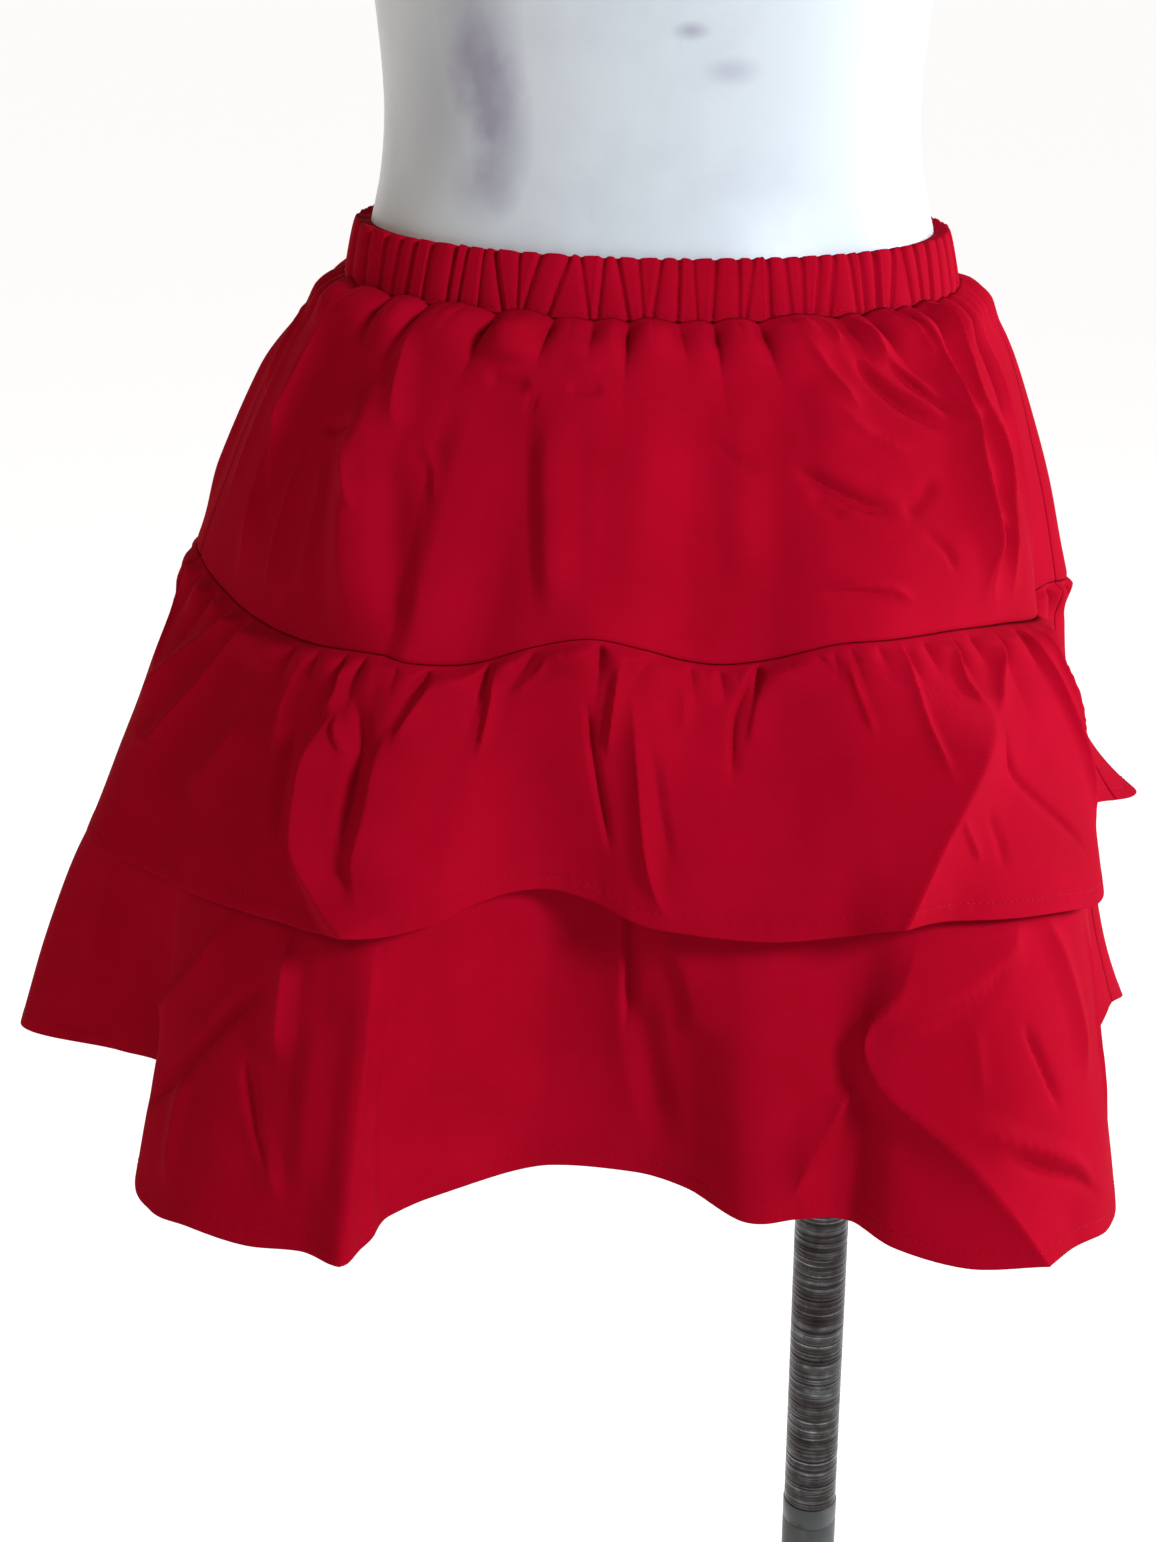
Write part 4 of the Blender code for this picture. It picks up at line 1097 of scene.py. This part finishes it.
def tier_panel(name, grid, lift, level, hem, finish):
    """One sewn panel: its folds pushed out along the normals, then its inner side.

    The grid has one spare column at each side, so that both panels of a side seam
    get the same normals there.  Level says where the lift is level, as at a seam."""
    normal = grid_normals(grid, False)
    across = np.gradient(grid, axis=1)
    flat = np.stack([across[..., 1], -across[..., 0], 0 * across[..., 2]], axis=-1)
    flat /= np.linalg.norm(flat, axis=2, keepdims=True)
    normal = normal * (1 - level[..., None]) + flat * level[..., None]
    normal /= np.linalg.norm(normal, axis=2, keepdims=True)
    dip = np.zeros(grid.shape[1])
    dip[[0, 1, -2, -1]], dip[[2, -3]] = SIDE_SEAM_DIPS
    lifted = grid + normal * (lift - dip)[..., None]
    fine_normal = grid_normals(lifted, False)
    if hem:
        lifted = turned_hem(lifted, fine_normal)
        fine_normal = grid_normals(lifted, False)
    inner = blurred(lifted)
    inner = inner - grid_normals(inner, False) * CLOTH
    for edge in (0, -1):
        inner[edge] = lifted[edge] - fine_normal[edge] * CLOTH
    across, down = cloth_lengths(grid)
    uv = np.stack([across, -down], axis=-1)
    lifted, inner, fine_normal, uv = (part[:, 1:-1] for part in (lifted, inner, fine_normal, uv))
    return shell(name, lifted, inner, uv, False, finish), lifted, fine_normal


def ruffle_panel(tier, side, grid, lift, level, cloth, thread):
    """One panel of a flounce, with its stitched hem."""
    piece, lifted, normal = tier_panel(f"{tier}_ruffle_{side}_cloth", grid, lift, level, True, cloth)
    sewn = stitches_along(f"{tier}_hem_{side}_stitches", lifted, normal,
                          HEM_TURN - HEM_STITCH_IN, thread)
    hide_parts(f"{tier}_ruffle_{side}")
    return piece, sewn


def make_upper(cloth):
    """Hip panels, gathered into the casing and rolled under at the hip seam."""
    made = []
    for side, angle, falls, angles, fall in panels((701, 101), (401, 57)):
        grid = base_grid(upper_ring, angle, falls)
        lift = upper_lift(angles, fall) - SEAM_ROLL * smooth(fall, 0.986, 1.0)
        level = smooth(fall, 0.8, 1.0)
        piece = tier_panel(f"upper_{side}_cloth", grid, lift, level, False, cloth)[0]
        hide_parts(f"upper_{side}")
        made.append(piece)
    return made


def make_middle(cloth, thread):
    """The short flounce, gathered into the hip seam."""
    made = []
    for side, angle, falls, angles, fall in panels((741, 91), (421, 55)):
        grid = base_grid(middle_ring, angle, falls)
        grid[..., 2] -= SEAM_GAP / 2
        lift = middle_lift(angles, fall) - SEAM_ROLL * (1 - smooth(fall, 0.0, 0.018))
        level = 1 - smooth(fall, 0.0, 0.2)
        made.append(ruffle_panel("middle", side, grid, lift, level, cloth, thread))
    return made


def make_bottom(cloth, thread):
    """The long flounce.  Its upper rows run hidden below the middle one, from the hip seam."""
    made = []
    for side, angle, falls, angles, fall in panels((721, 88), (401, 52)):
        seam, drop = seam_ring(angle)
        hidden = [np.hstack([inward(seam, TUCK_IN), (BAND_BOTTOM - drop + TUCK_UP)[:, None]])]
        for share in (0.0, 0.06, 0.12, 0.28, 0.44, 0.58, 0.72, 0.82):
            plan, drop = middle_ring(angle, np.full(angle.shape, share))
            plan = inward(plan, UNDERLAY + (NEST - UNDERLAY) * min(1.0, share / NEST_FALL))
            hidden.append(np.hstack([plan, (BAND_BOTTOM - drop - SEAM_GAP / 2)[:, None]]))
        grid = np.concatenate([np.array(hidden), base_grid(bottom_ring, angle, falls)])
        lift = np.concatenate([np.zeros((len(hidden), len(angle))), bottom_lift(angles, fall)])
        made.append(ruffle_panel("bottom", side, grid, lift, np.zeros(lift.shape), cloth, thread))
    return made


def make_waistband(cloth, thread):
    """Elastic casing: sharp uneven gathers, a frilled top edge and a stitched lower one."""
    columns, at_back, radius = 1440, 42, 0.118
    stitched_row, cloth_height = -4, 0.028
    angle = around(columns, -180)
    gathers = list(BAND_GATHERS)
    for k in range(at_back):
        at = 91 + (178 * (k + 0.5 + 0.3 * math.sin(4.7 * k))) / at_back
        gathers.append((at, at + 1.6 * math.sin(2.9 * k), 1.2 + 0.5 * math.sin(3.3 * k + 1), 1.3))
    profile = (  # share of the height from the lower edge, puff mm, share of the gathers' depth
        (1.0, -2.9, 0.25), (1.02, -2.0, 0.7), (1.03, -1.0, 0.95), (1.02, -0.4, 1.0),
        (0.98, -0.1, 1.0), (0.9, 0.15, 1.0), (0.8, 0.3, 1.0), (0.68, 0.35, 1.0),
        (0.56, 0.35, 1.0), (0.44, 0.3, 1.0), (0.33, 0.25, 1.0), (0.23, 0.2, 1.0),
        (0.15, 0.15, 1.0), (0.1, 0.1, 0.9), (0.06, 0.0, 0.85), (0.03, 0.0, 0.85), (0.0, 0.0, 0.85))
    outer, inner = [], []
    top, low, depth, width = (np.array(column, float) for column in zip(*gathers))
    for share, puff, gathered in profile:
        lift = share * BAND_HEIGHT + band_rise(angle)
        outside = band_oval(angle, lift, BAND_THICK)
        lines = low + (top - low) * share
        up, wide = arches(angle, lines, 0.9 + 0.8 * depth, 2.8)
        valley = np.zeros(columns)
        for k, (line, deep, narrow) in enumerate(zip(lines, depth, width)):
            beside = half_turn(angle - line) * math.radians(1) * radius / MM
            raised_edge = 1.5 * narrow * (1 if k % 3 else -1)
            valley += deep * (np.exp(-np.abs(beside) / (0.72 * narrow))
                              - 0.3 * np.exp(-((beside - raised_edge) / 0.55) ** 2))
        arched = np.minimum(0.22 * wide, 1.8) * up
        wave = 0.2 + puff + gathered * (arched - 0.85 * np.minimum(valley, 2.0))
        scallop = 1.0 - up + 0.55 * valley
        ring = outside + outward(outside) * (wave * MM)[:, None]
        edge = 0.0011 * smooth(share, 0.75, 1.0) * (0.6 - np.minimum(scallop, 1.8))
        outer.append(np.hstack([ring, (BAND_BOTTOM + lift + edge)[:, None]]))
        inside_height = BAND_BOTTOM + np.minimum(share, 0.995) * BAND_HEIGHT + band_rise(angle)
        inner.append(np.hstack([band_oval(angle, lift, 0.0), inside_height[:, None]]))
    outer, inner = np.array(outer), np.array(inner)
    steps = np.linalg.norm(np.diff(outer[len(profile) // 2], axis=0), axis=1)
    across = np.concatenate([[0], np.cumsum(steps)])
    uv = ring_uv(across, cloth_height, len(profile))
    piece = shell("waistband_cloth", outer, inner, uv, True, cloth)
    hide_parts("waistband")
    normal = grid_normals(outer, True)
    sewn = stitch_row("waistband_stitches", outer[stitched_row], normal[stitched_row], True, thread)
    return piece, sewn


def make_shorts(cloth, thread):
    """The inner shorts: a stretched hip part and two legs with turned hems."""
    rows = 40
    angle = around(180)
    outer, inner = [], []
    for share in np.linspace(0, 1, rows):
        top = band_rise(angle) - 2 * SEAM_GAP
        height = top + (-CROTCH_DROP - top) * share
        inside = oval(angle, *form_section(np.maximum(height, SHORTS_WIDEST), SHORTS_CLEAR))
        ease = 0.0007 * np.sin(np.radians(angle) * 22 + 3 * share) * smooth(share, 0.55, 1.0)
        level = (BAND_BOTTOM + height)[:, None]
        outside = inside + outward(inside) * (SHORTS_WALL + np.maximum(ease, -0.0002))[:, None]
        outer.append(np.hstack([outside, level]))
        inner.append(np.hstack([inside + 0.0001 * outward(inside), level]))
    uv = ring_uv(np.radians(angle) * 0.14, CROTCH_DROP, rows)
    hip = shell("shorts_hip_cloth", np.array(outer), np.array(inner), uv, True, cloth)
    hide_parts("shorts_hip")
    return [(hip, None)] + [make_leg(f"shorts_leg_{side}", way, cloth, thread)
                            for side, way in (("left", -1), ("right", 1))]


def make_leg(name, way, cloth, thread):
    """One leg of the shorts, below the crotch."""
    rows, length, stitched_row = 26, 0.073, 19
    half_width, front, back = form_section(SHORTS_WIDEST, SHORTS_CLEAR + SHORTS_WALL)
    reach = half_width / 2 - SHORTS_WALL
    angle = around(120)
    outer, inner = [], []
    for share in np.linspace(0, 1, rows):
        slim = np.interp(share, (0, 0.5, 1), (1.0, 0.95, 0.93))
        square = np.interp(share, (0, 0.5, 1), (0.12, 0.05, 0.0))
        leg = oval(angle, reach, front, back) * slim
        leg *= (1 + square * np.sin(2 * np.radians(angle)) ** 2)[:, None]
        drop = CROTCH_DROP + SEAM_GAP + share * (SHORTS_HEM_DROP - CROTCH_DROP - SEAM_GAP)
        hem = 0.0003 * (1 - smooth((1 - share) * length, 0.018, 0.0195))
        soft = 0.0007 * np.sin(np.radians(angle) * 5 + 2 * way) * smooth(share, 0.1, 0.5)
        plan = leg + outward(leg) * (hem + np.minimum(soft, 0))[:, None]
        level = np.full((len(angle), 1), BAND_BOTTOM - drop)
        middle = (way * half_width / 2, 0.0)
        outer.append(np.hstack([plan + middle, level]))
        inner.append(np.hstack([plan + middle - outward(leg) * SHORTS_WALL, level]))
    outer, inner = np.array(outer), np.array(inner)
    uv = ring_uv(np.radians(angle) * 0.1, length, rows)
    piece = shell(f"{name}_cloth", outer, inner, uv, True, cloth)
    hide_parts(name)
    normal = grid_normals(outer, True)[stitched_row]
    return piece, stitch_row(f"{name}_stitches", outer[stitched_row], normal, True, thread)


# ---------------------------------------------------------------- the dress form and stand
def make_form(finish):
    """The torso as one smooth shell, with an eased edge at the neck and underneath."""
    rows = np.array(FORM_SECTIONS, float) / 1000
    angle = around(144)
    step_height, steepest = 0.007, 0.012
    heights = []
    for low, high in zip(rows[:-1, 0], rows[1:, 0]):
        count = max(2, int((high - low) / step_height))
        heights.extend(np.linspace(low, high, count, endpoint=False))
    heights = np.array(heights + [rows[-1, 0]])
    slopes = [np.gradient(rows[:, i], rows[:, 0]) for i in (1, 2, 3)]
    rings = []
    for height in heights[::-1]:
        k = int(np.clip(np.searchsorted(rows[:, 0], height, "right") - 1, 0, len(rows) - 2))
        step = rows[k + 1, 0] - rows[k, 0]
        u = (height - rows[k, 0]) / step
        section = []
        for i, slope in zip((1, 2, 3), slopes):
            leave, arrive = (np.clip(slope[n] * step, -steepest, steepest) for n in (k, k + 1))
            section.append(cubic(u, rows[k, i], leave, rows[k + 1, i], arrive))
        plan = oval(angle, *section)
        rings.append(np.hstack([plan, np.full((len(angle), 1), BAND_BOTTOM + height)]))
    piece = capped_tube("dress_form_shell", np.array(rings), 50, finish)
    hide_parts("dress_form")


def deselect():
    bpy.ops.object.select_all(action="DESELECT")


def adopt(name, finish):
    """Names the active object and bakes its place into its mesh."""
    piece = bpy.context.active_object
    piece.name = piece.data.name = name
    bpy.ops.object.transform_apply(location=True, rotation=True, scale=True)
    bpy.ops.object.shade_smooth_by_angle(angle=math.radians(35))
    piece.data.materials.clear()
    piece.data.materials.append(finish)
    return piece


def turned_piece(name, centre_x, profile, finish, steps=96):
    """A turned piece, spun about an upright axis from its profile (radius, height)."""
    deselect()
    bpy.ops.mesh.primitive_circle_add(vertices=3, radius=0.01, location=(0, 0, 0))
    piece = bpy.context.active_object
    edit = bmesh.new()
    points = [edit.verts.new((radius, 0, height)) for radius, height in profile]
    for a, b in zip(points, points[1:]):
        edit.edges.new((a, b))
    edit.to_mesh(piece.data)
    edit.free()
    bpy.ops.object.mode_set(mode="EDIT")
    bpy.ops.mesh.select_all(action="SELECT")
    bpy.ops.mesh.spin(steps=steps, angle=2 * math.pi, center=(0, 0, 0), axis=(0, 0, 1))
    bpy.ops.mesh.select_all(action="SELECT")
    bpy.ops.mesh.remove_doubles(threshold=0.00003)
    bpy.ops.mesh.normals_make_consistent(inside=False)
    bpy.ops.object.mode_set(mode="OBJECT")
    piece.location.x = centre_x
    return adopt(name, finish)


def make_pole(steel, black):
    """The upper tube with its close, uneven rings, and the lower tube it slides in, coloured black as
    a painted dark reflection of its chrome.
    """
    top, low = FORM_BOTTOM - 2 * SEAM_GAP, SLEEVE_TOP + SEAM_GAP
    columns, rows, cut_width = 48, 800, 0.0005
    turn = np.arange(columns) * 2 * math.pi / columns
    draw = np.random.default_rng(11)
    cuts = np.cumsum(draw.uniform(0.0014, 0.0031, 340))
    cuts = top - 0.005 - cuts[cuts < top - low - 0.012]
    depth = draw.uniform(0.00012, 0.00034, len(cuts))
    slant = draw.uniform(-0.00035, 0.0009, len(cuts))
    rings = []
    for height in np.linspace(top, low, rows):
        level = height - np.outer(slant, np.cos(turn - 0.4)) - cuts[:, None]
        dip = (depth[:, None] * np.exp(-(level / cut_width) ** 2)).sum(axis=0)
        radius = POLE_RADIUS - dip
        rings.append(np.stack([POLE_X + radius * np.cos(turn), radius * np.sin(turn),
                               np.full(columns, height)], axis=-1))
    tube = capped_tube("pole_upper_tube", np.array(rings), 60, steel)
    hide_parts("pole_upper")
    floor = BASE_THICK + SEAM_GAP
    # The lower tube's black finish is a painted dark reflection of its chrome.
    sleeve = turned_piece("pole_lower_tube", POLE_X, (
        (0, SLEEVE_TOP), (POLE_RADIUS - 0.001, SLEEVE_TOP), (SLEEVE_RADIUS - 0.0008, SLEEVE_TOP),
        (SLEEVE_RADIUS - 0.0002, SLEEVE_TOP - 0.0003), (SLEEVE_RADIUS, SLEEVE_TOP - 0.001),
        (SLEEVE_RADIUS, SLEEVE_TOP - 0.012), (SLEEVE_RADIUS - 0.0004, SLEEVE_TOP - 0.013),
        (SLEEVE_RADIUS, SLEEVE_TOP - 0.014), (SLEEVE_RADIUS, floor), (0, floor)), black)
    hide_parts("pole_lower")


def make_fittings(steel, black):
    """Socket under the form, collar on the base, and the round base plate."""
    low = FORM_BOTTOM - SEAM_GAP - SOCKET_LENGTH
    bore = POLE_RADIUS + SEAM_GAP
    wide, slim = SOCKET_RADIUS * 1.5, SOCKET_RADIUS
    socket = turned_piece("form_socket_fitting", POLE_X, (
        (bore, FORM_BOTTOM - SEAM_GAP), (wide - 0.001, FORM_BOTTOM - SEAM_GAP),
        (wide, FORM_BOTTOM - 0.0013), (wide, FORM_BOTTOM - 0.0048),
        (wide - 0.001, FORM_BOTTOM - 0.006), (slim + 0.002, FORM_BOTTOM - 0.0068),
        (slim + 0.0005, FORM_BOTTOM - 0.0076), (slim, FORM_BOTTOM - 0.0092),
        (slim - 0.0004, FORM_BOTTOM - 0.02), (slim - 0.001, FORM_BOTTOM - 0.0208),
        (slim - 0.001, FORM_BOTTOM - 0.0232), (slim - 0.0004, FORM_BOTTOM - 0.024),
        (slim - 0.0006, low + 0.002), (slim - 0.0012, low + 0.0006), (slim - 0.0024, low),
        (bore, low), (bore, FORM_BOTTOM - SEAM_GAP)), black)
    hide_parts("form_socket")
    floor = BASE_THICK + SEAM_GAP
    bore = SLEEVE_RADIUS + SEAM_GAP
    top = floor + COLLAR_HEIGHT
    collar = turned_piece("base_collar_fitting", POLE_X, (
        (bore, top), (COLLAR_RADIUS * 0.7, top), (COLLAR_RADIUS * 0.735, top - 0.0006),
        (COLLAR_RADIUS * 0.75, top - 0.002), (COLLAR_RADIUS * 0.75, floor + 0.016),
        (COLLAR_RADIUS * 0.77, floor + 0.0125), (COLLAR_RADIUS * 0.84, floor + 0.0085),
        (COLLAR_RADIUS * 0.95, floor + 0.0055), (COLLAR_RADIUS * 0.99, floor + 0.0035),
        (COLLAR_RADIUS, floor + 0.0015), (COLLAR_RADIUS, floor), (bore, floor), (bore, top)), black)
    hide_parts("base_collar")
    base = turned_piece("base_plate_disc", 0.0, (
        (0, BASE_THICK), (BASE_RADIUS - 0.007, BASE_THICK),
        (BASE_RADIUS - 0.004, BASE_THICK - 0.0005), (BASE_RADIUS - 0.0018, BASE_THICK - 0.0016),
        (BASE_RADIUS - 0.0004, BASE_THICK - 0.0034), (BASE_RADIUS, BASE_THICK - 0.005),
        (BASE_RADIUS, 0.0008), (BASE_RADIUS - 0.0008, 0), (0, 0)), steel, 144)
    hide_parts("base_plate")


# ---------------------------------------------------------------- floor, light and camera
def make_stage():
    """A wide pale floor, and a backdrop all round that is seen but lights nothing."""
    deselect()
    bpy.ops.mesh.primitive_circle_add(vertices=64, radius=70, fill_type="NGON",
                                      location=(0, 0, -0.0005))
    floor = bpy.context.active_object
    floor.name = "studio_floor"
    pale = Finish("studio_floor_finish", (0.25, 0.25, 0.25), 0.9, Specular_IOR_Level=0.1,
                  Emission_Color=(1.0, 0.98, 0.965, 1), Emission_Strength=0.93)
    bpy.ops.mesh.primitive_uv_sphere_add(segments=64, ring_count=32, radius=68)
    backdrop = bpy.context.active_object
    backdrop.name = "studio_backdrop"
    backdrop.visible_diffuse = backdrop.visible_glossy = backdrop.visible_transmission = False
    backdrop.visible_volume_scatter = backdrop.visible_shadow = False
    for piece in (floor, backdrop):
        piece.data.materials.append(pale.material)


def add_light(name, place, aim, size, power, colour):
    """A soft lamp that faces a point of the garment."""
    lamp = bpy.data.lights.new(name, "AREA")
    lamp.shape = "RECTANGLE"
    lamp.size, lamp.size_y = size
    lamp.energy = power
    lamp.color = colour
    holder = bpy.data.objects.new(name, lamp)
    bpy.context.scene.collection.objects.link(holder)
    holder.location = place
    toward = np.array(aim) - np.array(place)
    flat = math.hypot(toward[0], toward[1])
    holder.rotation_euler = (math.atan2(flat, -toward[2]), 0, math.atan2(-toward[0], toward[1]))


def make_light():
    """Two cool windows, a warm room on the far side and a little light from behind."""
    world = bpy.data.worlds.new("studio_air")
    world.use_nodes = True
    air = world.node_tree.nodes["Background"]
    air.inputs["Color"].default_value = (0.93, 0.96, 1.0, 1)
    air.inputs["Strength"].default_value = 0.2
    bpy.context.scene.world = world
    add_light("side_window", (2.64, 0.8, 1.25), (0, 0, 0.85), (0.7, 0.8), 92, (0.84, 0.92, 1.0))
    add_light("front_window", (1.7, -1.75, 2.2), (0, 0, 0.8), (0.45, 0.55), 96, (0.84, 0.92, 1.0))
    add_light("far_room", (-2.4, -0.4, 2.2), (0, 0, 0.8), (0.8, 0.7), 16, (1.0, 0.78, 0.52))
    add_light("back_fill", (-0.9, 2.4, 1.7), (0, 0, 0.95), (2.0, 1.6), 14, (1.0, 0.96, 0.93))
    bpy.context.scene.view_settings.view_transform = "Standard"


def make_camera():
    """The photograph's view: close, from a little above the waistband, looking down."""
    photo_height = 1542
    focal_pixels = 2390
    lens = bpy.data.cameras.new("photo_view")
    lens.sensor_fit = "VERTICAL"
    lens.sensor_height = 36
    lens.lens = 36 * focal_pixels / photo_height
    camera = bpy.data.objects.new("photo_view", lens)
    bpy.context.scene.collection.objects.link(camera)
    camera.location = (-0.033, -1.1, BAND_BOTTOM + 0.189)
    camera.rotation_euler = (math.radians(90 - 21.4), 0, 0)
    bpy.context.scene.camera = camera


# ---------------------------------------------------------------- put together
make_camera()
cloth, thread, black = red_cloth(), red_thread(), black_plastic_and_painted_reflection()
waistband, waist_sewn = make_waistband(cloth, thread)
upper = make_upper(cloth)
middle = make_middle(cloth, thread)
bottom = make_bottom(cloth, thread)
shorts = make_shorts(cloth, thread)
make_form(form_shell())
make_pole(ringed_steel_painted_dark_reflection(), black)
make_fittings(brushed_steel(), black)

for piece in bpy.context.scene.objects:
    if piece.type == "MESH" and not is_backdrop(piece) and body_of(piece) is None:
        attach(piece, "root")

make_stage()
make_light()
